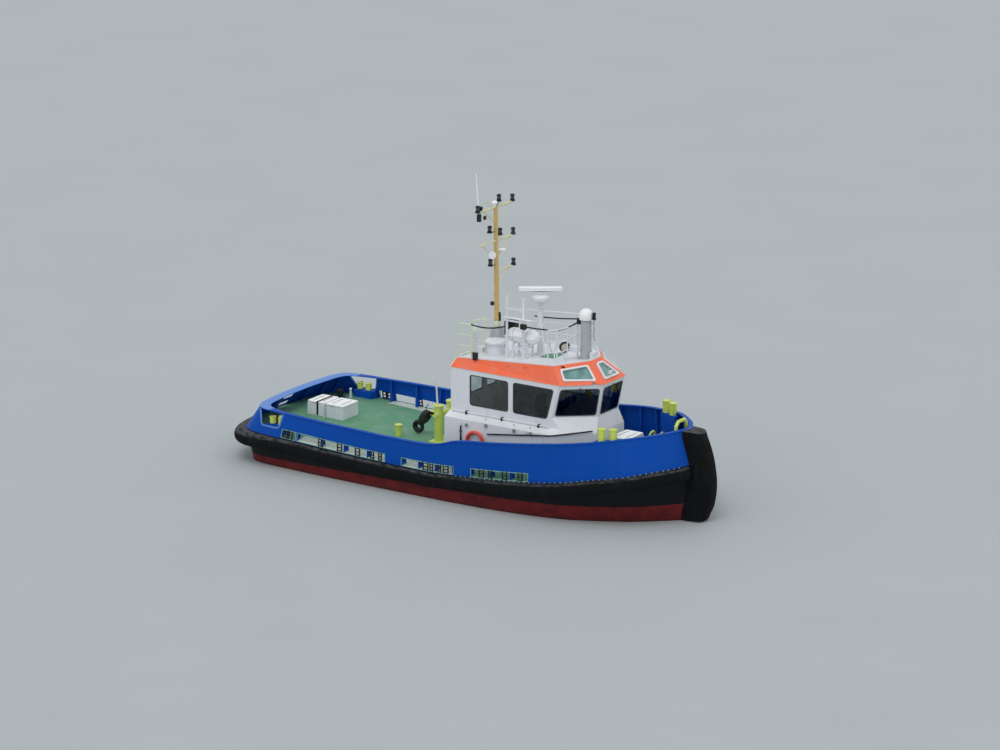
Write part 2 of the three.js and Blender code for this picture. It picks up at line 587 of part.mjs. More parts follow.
// Aft wall: the door opening and one window.
const AFT_WINDOW = { y0: -400, y1: 250, z0: 2900, z1: 3800 };
const aftPane = pane([v3(AFT_X, AFT_WINDOW.y0, AFT_WINDOW.z0), v3(AFT_X, AFT_WINDOW.y1, AFT_WINDOW.z0),
  v3(AFT_X, AFT_WINDOW.y1, AFT_WINDOW.z1), v3(AFT_X, AFT_WINDOW.y0, AFT_WINDOW.z1)], 0, 80);
const aftRebate = (clear) => box(AFT_X, AFT_X + 200, AFT_WINDOW.y0 - 50 + clear, AFT_WINDOW.y1 + 50 - clear,
  AFT_WINDOW.z0 - 50 + clear, AFT_WINDOW.z1 + 50 - clear);
add("wall_aft", shell.intersect(box(AFT_X - 10, aftEnd, -2000, 2000, 2000, 5000))
  .subtract(rebateSkins.intersect(aftRebate(0))).subtract(plate(aftPane, -200, 200)).subtract(doorway), WHITE);
add("glass_aft", glassSkins.intersect(aftRebate(2)), GLASS);

// Wheelhouse door, hinged on its port edge outside the aft wall; its window has its own glass.
const DOOR_X = AFT_X - 40;
const DOOR_PIVOT = { x: -345, y: 1195 };
const DOOR_WINDOW = { y0: 580, y1: 1070, z0: 2880, z1: 3600 };
function door() {
  const leaf = box(DOOR_X, DOOR_X + DOOR.thick, DOOR.low, DOOR.high, DOOR.foot, DOOR.head);
  const { y0, y1, z0, z1 } = DOOR_WINDOW;
  const opening = plate(pane([v3(DOOR_X, y0, z0), v3(DOOR_X, y1, z0), v3(DOOR_X, y1, z1), v3(DOOR_X, y0, z1)], 0, 60), -200, 200);
  const rebate = box(DOOR_X + SKIN, DOOR_X + 100, y0 - 30, y1 + 30, z0 - 30, z1 + 30);
  const barrels = [2150, 2800, 3450].map((z) => post(DOOR_PIVOT.x, DOOR_PIVOT.y, z, z + 110, 9)
    .add(box(DOOR_PIVOT.x - 4, DOOR_X + 2, DOOR.high - 40, DOOR.high + 2, z + 5, z + 105)));
  const handle = bar(v3(DOOR_X + 2, 520, 2750), v3(DOOR_X - 50, 520, 2750), 12).add(box(DOOR_X - 56, DOOR_X - 40, 505, 640, 2738, 2762));
  return join([leaf.subtract(opening).subtract(rebate), ...barrels, handle]);
}
add("wheelhouse_door", door(), WHITE);
add("door_glass", box(DOOR_X + SKIN + GAP, DOOR_X + SKIN + GAP + GLASS_THICK, DOOR_WINDOW.y0 - 28, DOOR_WINDOW.y1 + 28,
  DOOR_WINDOW.z0 - 28, DOOR_WINDOW.z1 + 28), GLASS);

// Helm console and chair on the wheelhouse floor.
const CONSOLE = [[3000, FLOOR_Z], [3150, 2650], [3000, 2760], [3050, 2860], [3450, 2900], [3550, 2860], [3550, FLOOR_Z]];
add("helm_console", slab(CONSOLE, "y", -900, 900).subtract(box(0, 6000, -2000, 2000, FLOOR_Z - 100, FLOOR_Z + GAP)), GREY);
function chair() {
  const base = post(2300, 0, FLOOR_Z + GAP, FLOOR_Z + 30, 300, 280, 20);
  const column = post(2300, 0, FLOOR_Z + 20, 2350, 60);
  const cushion = box(2050, 2560, -260, 260, 2340, 2470);
  const back = slab([[2040, 2360], [2170, 2360], [2110, 3180], [1990, 3180]], "y", -250, 250);
  const arms = [-300, 240].map((y) => box(2080, 2450, y, y + 60, 2600, 2650).add(box(2100, 2160, y, y + 60, 2400, 2620)))
    .map((arm, i) => arm.add(i === 0 ? box(2080, 2180, -250, -239, 2400, 2470) : box(2080, 2180, 239, 250, 2400, 2470)));
  return join([base, column, cushion, back, ...arms]);
}
add("helm_chair", chair(), BLACK);

// Roof: sloping fascias on all sides of a top plate that rises forward; hollow, with skylights in the front facets.
const roofTop = (x) => 4255 + 0.0745 * (x + 200);
const ROOF_PLATE = 30;
const roofRing = (t, inset) => {
  const low = insetRing(WALL_HEAD_Z + GAP, inset, AFT_X - 20, HOUSE_HALF + 20, 3760, 4835, 640);
  const high = insetRing(0, inset, -200, 1280, 3400, 4125, 290).map((p) => v3(p.x, p.y, roofTop(p.x)));
  return low.map((p, i) => p.clone().lerp(high[i], t));
};
const roofSkin = (inset, from = -0.15, to = 1.15) => loft([roofRing(from, inset), roofRing(to, inset)]);
const roofPrism = (drop) => slab(
  [[-350, 3800], [6000, 3800], [6000, roofTop(6000) - drop], [-350, roofTop(-350) - drop]], "y", -2000, 2000);
const SKYLIGHT_MARGINS = [180, 210, 200, 210];
const skylights = [1, 2, 3].map((i) => {
  const [low, high] = [roofRing(0, 0), roofRing(1, 0)];
  return plate(pane([low[i + 1], low[i], high[i], high[i + 1]], SKYLIGHT_MARGINS, 60), -120, 120);
});
add("roof", roofSkin(0, 0, 1).subtract(roofSkin(ROOF_PLATE).intersect(roofPrism(ROOF_PLATE))).subtract(join(skylights)), ORANGE);
const skylightZone = slab([[3560, 4060], [5000, 4060], [4480, roofTop(4480) - 60], [3480, roofTop(3480) - 60]], "y", -1600, 1600);
const skylightGlass = roofSkin(ROOF_PLATE + GAP).subtract(roofSkin(ROOF_PLATE + GAP + GLASS_THICK)).intersect(skylightZone);
add("skylight_glass", skylightGlass, TEAL_GLASS);
const underRoof = roofPrism(-GAP);
const onRoof = (made) => made.subtract(underRoof);

// Mast: a post in a tapered housing, with two cross arms, a bracket, braces, lights and a bent whip.
const MAST = { foot: v3(460, 0, 4200), top: v3(400, 0, 8950), radius: 80 };
const mastX = (z) => 460 - (60 * (z - 4300)) / 4620;
// Lights as [y, z of the foot] on the arms.
const MAST_LIGHTS = [[-20, 8960], [420, 8960], [-720, 7880], [-300, 7880], [300, 7880], [720, 7880], [-720, 7560], [900, 6890]];
const housingRing = (z, halfX, halfY) =>
  [v3(460 - halfX, -halfY, z), v3(460 + halfX, -halfY, z), v3(460 + halfX, halfY, z), v3(460 - halfX, halfY, z)];
function mast() {
  const arm = (z, half) => bar(v3(mastX(z), -half, z), v3(mastX(z), half, z), 38, 38, 10);
  const brace = (y0, z0, z1) => bar(v3(mastX(z0), y0, z0), v3(mastX(z1), 0, z1), 22, 22, 6);
  const lamp = ([y, z]) => post(mastX(z), y, z - 20, z + 190, 58, 58, 10);
  return onRoof(join([
    bar(MAST.foot, MAST.top, MAST.radius, MAST.radius * 0.8, 16),
    arm(8920, 860), arm(7840, 950), bar(v3(mastX(6850), 0, 6850), v3(mastX(6850), 920, 6850), 30, 30, 10),
    brace(-800, 7840, 7250), brace(800, 7840, 7250), brace(-700, 8920, 8400), brace(700, 8920, 8400), brace(800, 6850, 6450),
    ...MAST_LIGHTS.map(lamp),
    bar(v3(385, -860, 8935), v3(385, -905, 8935), 30, 30, 8),
    pipe([v3(388, -895, 8905), v3(330, -880, 9214), v3(270, -900, 10150)], 13, 8),
    loft([housingRing(4200, 190, 200), housingRing(5080, 150, 140)]),
  ]));
}
add("mast", mast(), OCHRE);

// Radar: a pedestal, and a bar scanner that turns on it.
const RADAR = { x: 2080, hubTop: 6350, scannerZ: 6520, length: 1370, turn: 33.8 };
add("radar_pedestal", onRoof(join([
  post(RADAR.x, 0, 4300, 6080, 95, 95, 16), post(RADAR.x, 0, 4350, 4470, 170, 170, 20),
  post(RADAR.x, 0, 6040, 6150, 95, 265, 24), post(RADAR.x, 0, 6150, 6260, 270, 270, 24),
  post(RADAR.x, 0, 6260, RADAR.hubTop, 265, 100, 24),
])), WHITE);
function scanner() {
  const half = RADAR.length / 2;
  const outline = [[-half, 60], [-half + 60, 95], [half - 60, 95], [half, 60], [half, -60], [half - 60, -95], [-half + 60, -95], [-half, -60]];
  const barBody = slab(outline, "z", RADAR.scannerZ - 70, RADAR.scannerZ + 70);
  const neck = post(0, 0, RADAR.hubTop + 6, RADAR.scannerZ - 60, 75, 75, 20);
  return barBody.add(neck).rotate([0, 0, RADAR.turn]).translate([RADAR.x, 0, 0]);
}
add("radar_scanner", scanner(), WHITE);

// Roof gear: satellite dome, searchlight, life raft on its cradle, vent and antenna frame.
add("dome_column", onRoof(join([
  post(3770, 0, 4400, 5800, 165, 165, 20), post(3770, 0, 5780, 5960, 210, 210, 24),
  ball(v3(3770, 0, 5930), 200, 20), post(3770, 0, 4480, 4580, 230, 230, 20),
])), WHITE);
const SEARCHLIGHT = { x: 3207, y: -430, z: 4980, turn: -38 };
function searchlight() {
  const { x, y, z, turn } = SEARCHLIGHT;
  const lamp = join([
    box(-30, 30, -200, 200, z - 240, z - 200), box(-20, 20, -200, -180, z - 240, z + 20), box(-20, 20, 180, 200, z - 240, z + 20),
    bar(v3(-150, 0, z), v3(150, 0, z), 120, 160, 20), bar(v3(0, -190, z), v3(0, 190, z), 18),
  ]);
  return onRoof(lamp.rotate([0, 0, turn]).translate([x, y, 0]).add(post(x, y, 4400, z - 190, 35, 35, 10)));
}
add("searchlight", searchlight(), WHITE);
const RAFT = { x: 1770, y: -500, z: 5070, half: 565, radius: 230 };
function raft() {
  const { x, y, z, half, radius } = RAFT;
  const stations = [[-half, 0.7], [-half + 60, 0.93], [-half + 130, 1], [half - 130, 1], [half - 60, 0.93], [half, 0.7]];
  const sections = stations.map(([dx, share]) => Array.from({ length: 20 }, (_, i) => {
    const angle = (i / 20) * 2 * Math.PI;
    return v3(x + dx, y + share * radius * Math.cos(angle), z + share * radius * Math.sin(angle));
  }));
  return loft(sections).add(box(x - half + 20, x + half - 20, y - radius - 12, y + radius + 12, z - 14, z + 14));
}
add("life_raft", raft(), WHITE);
function cradle() {
  const { x, y, z, radius } = RAFT;
  const pad = bar(v3(x - 320, y, z), v3(x + 320, y, z), radius + 3, radius + 3, 24);
  const saddles = [-300, 220].map((dx) => box(x + dx, x + dx + 60, y - 190, y + 190, z - 260, z - 130));
  const legs = [-300, 220].flatMap((dx) => [-190, 130].map((dy) => box(x + dx, x + dx + 60, y + dy, y + dy + 60, 4300, z - 150)));
  const rails = [-190, 130].map((dy) => box(x - 300, x + 280, y + dy, y + dy + 60, z - 400, z - 350));
  return onRoof(join([...saddles, ...legs, ...rails])).subtract(pad);
}
add("raft_cradle", cradle(), WHITE);
add("vent", onRoof(join([post(730, -500, 4200, 4800, 268, 268, 24), post(730, -500, 4715, 4810, 335, 325, 28)])), WHITE);
function antennaFrame() {
  const poleY = -785;
  const poles = [1343, 1963].map((x) => post(x, poleY, 4300, 6360, 40, 40, 12));
  const cross = [5100, 5950].map((z) => bar(v3(1343, poleY, z), v3(1963, poleY, z), 20, 20, 8));
  const shelves = [5570, 5660].map((z) => box(1250, 2250, poleY - 60, poleY + 60, z, z + 30));
  return onRoof(join([...poles, ...cross, ...shelves]));
}
add("antenna_frame", antennaFrame(), WHITE);

// Ladder up the aft wall, whose stringers end in two hoops with rungs that stand on the roof.
const LADDER = { x: -420, low: 1180, rungs: 10, pitch: 290, radius: 24 };
const HOOP_RUNGS = [4660, 5020];
function ladder() {
  const { x, low, radius } = LADDER;
  const stringer = (y, hoopY, aft, fore, topAft, topFore) => join([
    pipe([v3(x, y, low), v3(x, y, 4120), v3(aft, hoopY, 4410), v3(aft, hoopY, topAft - 100), v3(aft + 100, hoopY, topAft),
      v3(fore - 100, hoopY, topFore), v3(fore, hoopY, topFore - 100), v3(fore, hoopY, 4200)], radius),
    bar(v3(aft, hoopY, 4200), v3(aft, hoopY, 4430), radius, radius, 8),
    ...HOOP_RUNGS.map((z) => bar(v3(aft, hoopY, z), v3(fore, hoopY, z), 18, 18, 6)),
  ]);
  const rungs = Array.from({ length: LADDER.rungs }, (_, i) => low + 150 + i * LADDER.pitch)
    .map((z) => bar(v3(x, -1200, z), v3(x, -550, z), 16, 16, 6));
  const brackets = [[-1200, 1500], [-550, 1500], [-1200, 2300], [-550, 2300]]
    .map(([y, z]) => bar(v3(x, y, z), v3(-330 - GAP, y, z), 18, 18, 6));
  const hoops = [stringer(-1200, -1250, -170, 330, 5370, 5370), stringer(-550, -500, -180, 368, 5260, 5420)];
  return join([...hoops, ...rungs, ...brackets]).subtract(roofSkin(-GAP, 0, 1).translate([0, 0, GAP]));
}
add("ladder", ladder(), LIME);

// Railing round the roof's port side and front, open on the starboard side aft.
const RAIL_POSTS = [[-120, 1180], [800, 1180], [1700, 1180], [2600, 1180], [3380, 1150], [3460, 560], [3460, 0], [3440, -560], [3340, -1000], [3060, -1080]];
const RAIL_RISE = 1080;
function roofRailing() {
  const foot = ([x, y]) => v3(x, y, roofTop(x) - 30);
  const railPoint = (share) => ([x, y]) => v3(x, y, roofTop(x) + RAIL_RISE * share);
  const posts = RAIL_POSTS.map((p) => bar(foot(p), railPoint(1)(p), 22, 22, 6));
  return onRoof(join([...posts, ...[1, 0.66, 0.33].map((share) => pipe(RAIL_POSTS.map(railPoint(share)), 20))]));
}
add("roof_railing", roofRailing(), WHITE);

// Towing bitt with a pinned tow hook that swings aft of it.
const HOOK = { x: -2000, z: 1850, pin: 40, bore: 46, eye: 90 };
function towBitt() {
  const posts = [-350, 350].map((y) => post(-1540, y, 800, 2250, 145, 145, 24).add(post(-1540, y, 2220, 2265, 170, 165, 24)));
  const crossbar = bar(v3(-1540, -560, 1950), v3(-1540, 560, 1950), 75, 75, 16);
  const base = box(-1800, -1300, -560, 560, 800, deckZ(-1540, 0) + 45);
  const arms = [[1895, 1925], [1775, 1805]].map(([z0, z1]) =>
    slab([[-1560, -170], [-1560, 170], [-1960, 90], [-2060, 60], [-2095, 0], [-2060, -60], [-1960, -90]], "z", z0, z1));
  const pin = post(HOOK.x, 0, 1760, 1945, HOOK.pin, HOOK.pin, 20);
  return onDeck(join([...posts, crossbar, base, ...arms, box(-1640, -1480, -170, 170, 1775, 1925), pin]));
}
add("tow_bitt", towBitt(), LIME);
function towHook() {
  const eye = post(HOOK.x, 0, 1811, 1889, HOOK.eye, HOOK.eye, 24);
  const shank = pipe([v3(-2060, 0, 1850), v3(-2200, 0, 1830), v3(-2480, 0, 1460)], 36, 12);
  const casing = join([bar(v3(-2185, 0, 1835), v3(-2300, 0, 1690), 60, 120, 16), bar(v3(-2300, 0, 1690), v3(-2455, 0, 1480), 120, 105, 16)]);
  const round = bar(v3(-2560, -50, 1290), v3(-2560, 50, 1290), 185, 185, 28);
  const mouth = bar(v3(-2560, -60, 1290), v3(-2560, 60, 1290), 80, 80, 20).add(box(-2640, -2560, -60, 60, 1290, 1500));
  const body = join([eye, shank, casing, round.subtract(mouth)]);
  return body.subtract(post(HOOK.x, 0, 1700, 2000, HOOK.bore, HOOK.bore, 24));
}
add("tow_hook", towHook(), BLACK);

// Deck lockers: open boxes with hinged lids, as [name, aft x, forward x, half width, floor, top of box, lid overhang].
const LID = { thick: 50, gap: 6 };
const LOCKER_WALL = 25;
const LOCKERS = [
  ["locker_aft", -6650, -5970, 425, 1230, 1580, 0],
  ["locker_fore", -5900, -5230, 425, 1230, 1580, 15],
  ["bow_locker", 4980, 5620, 460, 1650, 2270, 0],
];
LOCKERS.forEach(([name, x0, x1, half, floor, top, overhang]) => {
  const inside = box(x0 + LOCKER_WALL, x1 - LOCKER_WALL, -half + LOCKER_WALL, half - LOCKER_WALL, floor, top + 10);
  const lidFoot = top + LID.gap;
  add(name, onDeck(box(x0, x1, -half, half, 800, top)).subtract(inside), WHITE);
  add(`${name}_lid`, box(x0 - overhang, x1 + overhang, -half - overhang, half, lidFoot, lidFoot + LID.thick), WHITE);
});

// Bitts: a pair of posts with caps on one base plate, as [name, posts of x and y, top, radius, low end].
const BITTS = [
  ["bitt_aft", [[-6560, 2420], [-6230, 2420]], 1590, 100, 1000],
  ["bitt_fore", FORE_BITT.posts, 3015, FORE_BITT.radius, 1300],
];
function bitt(posts, top, radius, low) {
  const [[xa, ya], [xb, yb]] = posts;
  const deck = deckZ((xa + xb) / 2, (ya + yb) / 2);
  const side = v3(yb - ya, xa - xb, 0).setLength(radius + 15);
  const on = v3(xb - xa, yb - ya, 0).setLength(radius + 30);
  const [a, b] = [v3(xa, ya, 0).sub(on), v3(xb, yb, 0).add(on)];
  const corners = [a.clone().add(side), a.clone().sub(side), b.clone().sub(side), b.clone().add(side)];
  const base = slab(corners.map((p) => [p.x, p.y]), "z", low, deck + 55);
  const uprights = posts.map(([x, y]) => post(x, y, low, top, radius, radius, 20).add(post(x, y, top - 30, top, radius + 12, radius + 12, 20)));
  return join([base, ...uprights]);
}
BITTS.forEach(([name, posts, top, radius, low]) => {
  const made = bitt(posts, top, radius, low);
  add(`${name}_port`, onDeck(made), LIME);
  add(`${name}_starboard`, onDeck(mirrored(made)), LIME);
});
add("short_bollard", onDeck(post(-2950, -570, 800, 1450, 105, 105, 20).add(post(-2950, -570, 1410, 1450, 125, 125, 20))), LIME);

// Bow gear: the staple that leads the tow line, and the anchor windlass with its drum.
add("bow_staple", onDeck(pipe([v3(7250, -300, 1600), v3(7250, -300, 2960), v3(7250, -180, 3085), v3(7250, 180, 3085),
  v3(7250, 300, 2960), v3(7250, 300, 1600)], 55, 10)), LIME);
const WINDLASS = { x: 6350, z: 2200, shaft: 50, bore: 57 };
function windlass() {
  const { x, z, bore } = WINDLASS;
  const base = box(x - 260, x + 260, -400, 400, 1500, deckZ(x, 0) + 70);
  const cheek = (y) => slab([[x - 200, 1700], [x + 200, 1700], [x + 110, z + 60], [x + 60, z + 110], [x - 60, z + 110], [x - 110, z + 60]], "y", y, y + 40);
  const bores = bar(v3(x, -500, z), v3(x, 500, z), bore, bore, 24);
  return onDeck(join([base, cheek(-360), cheek(320)])).subtract(bores);
}
add("windlass", windlass(), GREY);
const alongY = (y0, y1, radius) => bar(v3(WINDLASS.x, y0, WINDLASS.z), v3(WINDLASS.x, y1, WINDLASS.z), radius, radius, 24);
add("windlass_drum", join([alongY(-470, 470, WINDLASS.shaft), alongY(-300, 300, 130), alongY(-300, -270, 250), alongY(270, 300, 250),
  alongY(-10, 20, 250), alongY(-560, -380, 110), alongY(380, 560, 110)]), GREY);

// Lifebuoy on the starboard side of the deckhouse.
add("lifebuoy", solid(new THREE.TorusGeometry(300, 55, 10, 28).rotateX(Math.PI / 2).translate(860, -1870, 1820)), RED);

// Stern gear: a propeller in a fixed nozzle and a rudder behind it, on each side.
function ringAbout(profile, x, y, z) {
  const points = [...profile, profile[0]].map(([radius, along]) => new THREE.Vector2(radius, along));
  return solid(new THREE.LatheGeometry(points, 36).rotateZ(-Math.PI / 2).translate(x, y, z));
}
const NOZZLE = [[552, -300], [545, 0], [560, 300], [625, 300], [658, 200], [665, 0], [600, -300]];
function nozzle() {
  const { x, y, z } = PROPELLER;
  const ring = ringAbout(NOZZLE.map(([r, a]) => [r, a]), x, y, z);
  const strut = box(x + 150, x + 420, y - 18, y + 18, z, -200);
  const tube = bar(v3(x + 160, y, z), v3(-2800, y, z), 95, 95, 16);
  return join([ring, strut, tube]).subtract(hullRoom);
}
function propeller() {
  const { x, y, z, radius } = PROPELLER;
  const hub = bar(v3(x + 140, y, z), v3(x - 120, y, z), 88, 80, 20).add(bar(v3(x - 120, y, z), v3(x - 230, y, z), 80, 30, 20));
  const blades = Array.from({ length: 4 }, (_, i) => {
    const sections = [[60, 100, 48], [0.45 * radius, 150, 38], [0.75 * radius, 170, 27], [radius, 120, 20]].map(([r, half, pitch]) => {
      const tilt = THREE.MathUtils.degToRad(pitch);
      const [cx, cy] = [Math.sin(tilt) * half, Math.cos(tilt) * half];
      const thick = 9;
      return [v3(-cx, -cy, r), v3(-thick, thick, r), v3(cx, cy, r), v3(thick, -thick, r)];
    });
    return loft(sections).rotate([(360 / 4) * i, 0, 0]).translate([x, y, z]);
  });
  return join([hub, ...blades]);
}
function rudder() {
  const y = PROPELLER.y;
  const outline = [[220, 0], [150, 52], [0, 66], [-120, 50], [-330, 12], [-330, -12], [-120, -50], [0, -66], [150, -52]];
  const blade = slab(outline.map(([dx, dy]) => [RUDDER_X + dx, y + dy]), "z", -1700, -500);
  return blade.add(post(RUDDER_X, y, -520, -350, 60));
}
[["nozzle", nozzle(), BLACK], ["propeller", propeller(), BRONZE], ["rudder", rudder(), BLACK]].forEach(([name, made, material]) => {
  add(`${name}_port`, made, material);
  add(`${name}_starboard`, mirrored(made), material);
});

export default tug;
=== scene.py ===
"""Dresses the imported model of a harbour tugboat, with its light, floor and camera.

Metres, +X forward to the bow, +Y to port, +Z up, origin on the still waterline.
"""

import json
import logging
import math
from dataclasses import dataclass, field
from enum import Enum
from typing import Callable, Sequence

import bmesh
import bpy
import numpy as np
from mathutils import Matrix, Vector
from numpy.typing import NDArray


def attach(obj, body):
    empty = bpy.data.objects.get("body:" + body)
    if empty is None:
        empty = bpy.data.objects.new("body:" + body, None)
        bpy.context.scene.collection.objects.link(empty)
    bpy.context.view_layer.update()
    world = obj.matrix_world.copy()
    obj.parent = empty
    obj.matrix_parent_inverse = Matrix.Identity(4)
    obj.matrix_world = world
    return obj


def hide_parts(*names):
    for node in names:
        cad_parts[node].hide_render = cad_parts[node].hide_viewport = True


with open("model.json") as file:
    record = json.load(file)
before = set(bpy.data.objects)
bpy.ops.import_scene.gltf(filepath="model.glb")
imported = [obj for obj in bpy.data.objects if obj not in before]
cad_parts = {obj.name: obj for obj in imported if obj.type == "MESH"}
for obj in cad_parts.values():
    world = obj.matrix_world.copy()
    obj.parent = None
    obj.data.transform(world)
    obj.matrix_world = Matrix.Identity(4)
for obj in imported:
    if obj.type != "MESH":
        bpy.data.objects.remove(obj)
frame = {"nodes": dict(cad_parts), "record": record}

Object = bpy.types.Object
Material = bpy.types.Material
Node = bpy.types.Node
Socket = bpy.types.NodeSocket
Tree = bpy.types.NodeTree
Points = NDArray[np.float64]
Faces = list[list[int]]
Part = tuple[Points, Faces]
Profile = tuple[tuple[float, float], ...]
Pair = tuple[float, float]
Place = tuple[float, float, float]
Color = tuple[float, float, float]
log = logging.getLogger("tugboat")

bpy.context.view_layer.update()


# Shapes worked out as arrays


def vec(*values: float) -> Points:
    """One point or direction."""
    return np.array(values, dtype=float)


def unit(v: Points) -> Points:
    """Directions scaled to length one."""
    return v / np.maximum(np.linalg.norm(v, axis=-1, keepdims=True), 1e-12)


def grid_faces(rows: int, cols: int, wrap_rows: bool = False) -> Faces:
    """Quads that join a grid of points row by row, where each row is a closed loop.

    Args:
        rows: number of rows of points.
        cols: number of points in a row.
        wrap_rows: whether the last row meets the first.

    Returns:
        Four point numbers for each face.
    """
    i = np.arange(rows if wrap_rows else rows - 1)[:, None]
    j = np.arange(cols)[None, :]
    i2, j2 = (i + 1) % rows, (j + 1) % cols
    corners = [i * cols + j, i * cols + j2, i2 * cols + j2, i2 * cols + j]
    return np.stack(corners, axis=-1).reshape(-1, 4).tolist()


def capped_faces(rows: int, cols: int) -> Faces:
    """Quads that join a grid of points row by row, and one face across each end."""
    last = (rows - 1) * cols
    return grid_faces(rows, cols) + [list(range(cols))[::-1], list(range(last, last + cols))]


def rounded_path(
    corners: Sequence[Sequence[float]], radius: float, steps: int = 5, closed: bool = False
) -> Points:
    """A path whose corners are replaced by quadratic curves that start and end a radius away from the corner.

    Args:
        corners: the points of the sharp path.
        radius: distance from a corner at which its curve starts.
        steps: points on each curve.
        closed: whether the path returns to its first point.

    Returns:
        The points of the smooth path.
    """
    p = np.array(corners, dtype=float)
    before, after = np.roll(p, 1, axis=0), np.roll(p, -1, axis=0)
    to_before, to_after = before - p, after - p
    reach_b = np.minimum(radius, 0.48 * np.linalg.norm(to_before, axis=1))[:, None]
    reach_a = np.minimum(radius, 0.48 * np.linalg.norm(to_after, axis=1))[:, None]
    start, end = p + unit(to_before) * reach_b, p + unit(to_after) * reach_a
    t = np.linspace(0, 1, steps)[None, :, None]
    bends = (1 - t) ** 2 * start[:, None] + 2 * t * (1 - t) * p[:, None] + t**2 * end[:, None]
    if closed:
        return bends.reshape(-1, 3)
    return np.vstack([p[:1], bends[1:-1].reshape(-1, 3), p[-1:]])


def tube_points(
    path: Points | Sequence[Place], radius: float | Points, sides: int, closed: bool = False
) -> Points:
    """A circle carried along a path: path + radius * (cos a * side + sin a * over), square to the path.

    Args:
        path: points of the centreline.
        radius: one radius, or one for each point.
        sides: points round the circle.
        closed: whether the path returns to its first point.

    Returns:
        Points as an array of path steps by sides by 3.
    """
    path = np.asarray(path, dtype=float)
    if closed:
        along = unit(np.roll(path, -1, axis=0) - np.roll(path, 1, axis=0))
    else:
        along = unit(np.gradient(path, axis=0))
    steady = np.eye(3)[np.argmin(np.abs(along).max(axis=0))]
    side = unit(np.cross(along, steady))
    over = np.cross(side, along)
    a = np.linspace(0, 2 * np.pi, sides, endpoint=False)
    reach = np.broadcast_to(np.asarray(radius, dtype=float), (len(path),))[:, None, None]
    ring = np.cos(a)[None, :, None] * side[:, None] + np.sin(a)[None, :, None] * over[:, None]
    return path[:, None] + reach * ring


def closed_curve(points: Points, t: Points) -> Points:
    """A closed curve of cubic pieces, whose tangents weigh neighbours by the root of their distance.

    Args:
        points: the points that the curve passes through.
        t: places on the curve, where 0 is the first point and 1 is the first point again.

    Returns:
        One point for each place.
    """
    count = len(points)
    place = (np.asarray(t, dtype=float) % 1.0) * count
    i = np.floor(place).astype(int) % count
    w = (place - np.floor(place))[:, None]
    a, b, c, d = (points[(i + k) % count] for k in (-1, 0, 1, 2))
    root = [np.sqrt(np.linalg.norm(q - p, axis=1))[:, None] for p, q in ((a, b), (b, c), (c, d))]
    d0, d1, d2 = (np.where(r < 1e-4, 1.0, r) for r in root)
    t1 = ((b - a) / d0 - (c - a) / (d0 + d1) + (c - b) / d1) * d1
    t2 = ((c - b) / d1 - (d - b) / (d1 + d2) + (d - c) / d2) * d1
    return b + t1 * w + (3 * (c - b) - 2 * t1 - t2) * w**2 + (2 * (b - c) + t1 + t2) * w**3


def pane_outline(
    corners: Sequence[Points], margins: Sequence[float], radius: float, steps: int = 6
) -> Points:
    """A flat polygon drawn in by a margin on each edge, with rounded corners.

    Args:
        corners: corners in order; the margins are measured along the polygon's own plane.
        margins: one margin for the edge that leaves each corner.
        radius: distance from each corner at which its curve starts.
        steps: points on each curve.

    Returns:
        The points of the rounded outline.
    """
    p = np.array(corners, dtype=float)
    m = np.array(margins, dtype=float)
    normal = unit(np.cross(p, np.roll(p, -1, axis=0)).sum(axis=0))
    after = unit(np.roll(p, -1, axis=0) - p)
    before = np.roll(after, 1, axis=0)
    in_after, in_before = np.cross(normal, after), np.cross(normal, before)
    alpha = m / (before * in_after).sum(axis=1)
    beta = np.roll(m, 1) / (after * in_before).sum(axis=1)
    inner = p + before * alpha[:, None] + after * beta[:, None]
    return rounded_path(inner, radius, steps, closed=True)


# Finishes


class Surface(Enum):
    """How the skin of a material is broken up."""

    SMOOTH_PAINT = "smooth paint"
    NON_SLIP = "non-slip deck paint"
    RUBBER = "moulded rubber"
    CAST = "cast metal"
    CLOTH = "woven cloth"
    ROPE = "laid rope"


@dataclass(frozen=True)
class Finish:
    """One real finish: its colour, gloss, dirt and unevenness, and the record's slot that it belongs to."""

    name: str
    color: Color
    slot: str
    roughness: float = 0.4
    metallic: float = 0.0
    coat: float = 0.0
    grime: float = 0.25
    grime_color: Color = (0.12, 0.1, 0.08)
    fade: float = 0.12
    waviness: float = 0.0
    gloss: float = 0.5
    surface: Surface = Surface.SMOOTH_PAINT


def srgb(r: float, g: float, b: float) -> Color:
    """A colour of 0 to 255 as linear light."""
    c = np.array([r, g, b]) / 255.0
    linear = np.where(c <= 0.04045, c / 12.92, ((c + 0.055) / 1.055) ** 2.4)
    return float(linear[0]), float(linear[1]), float(linear[2])


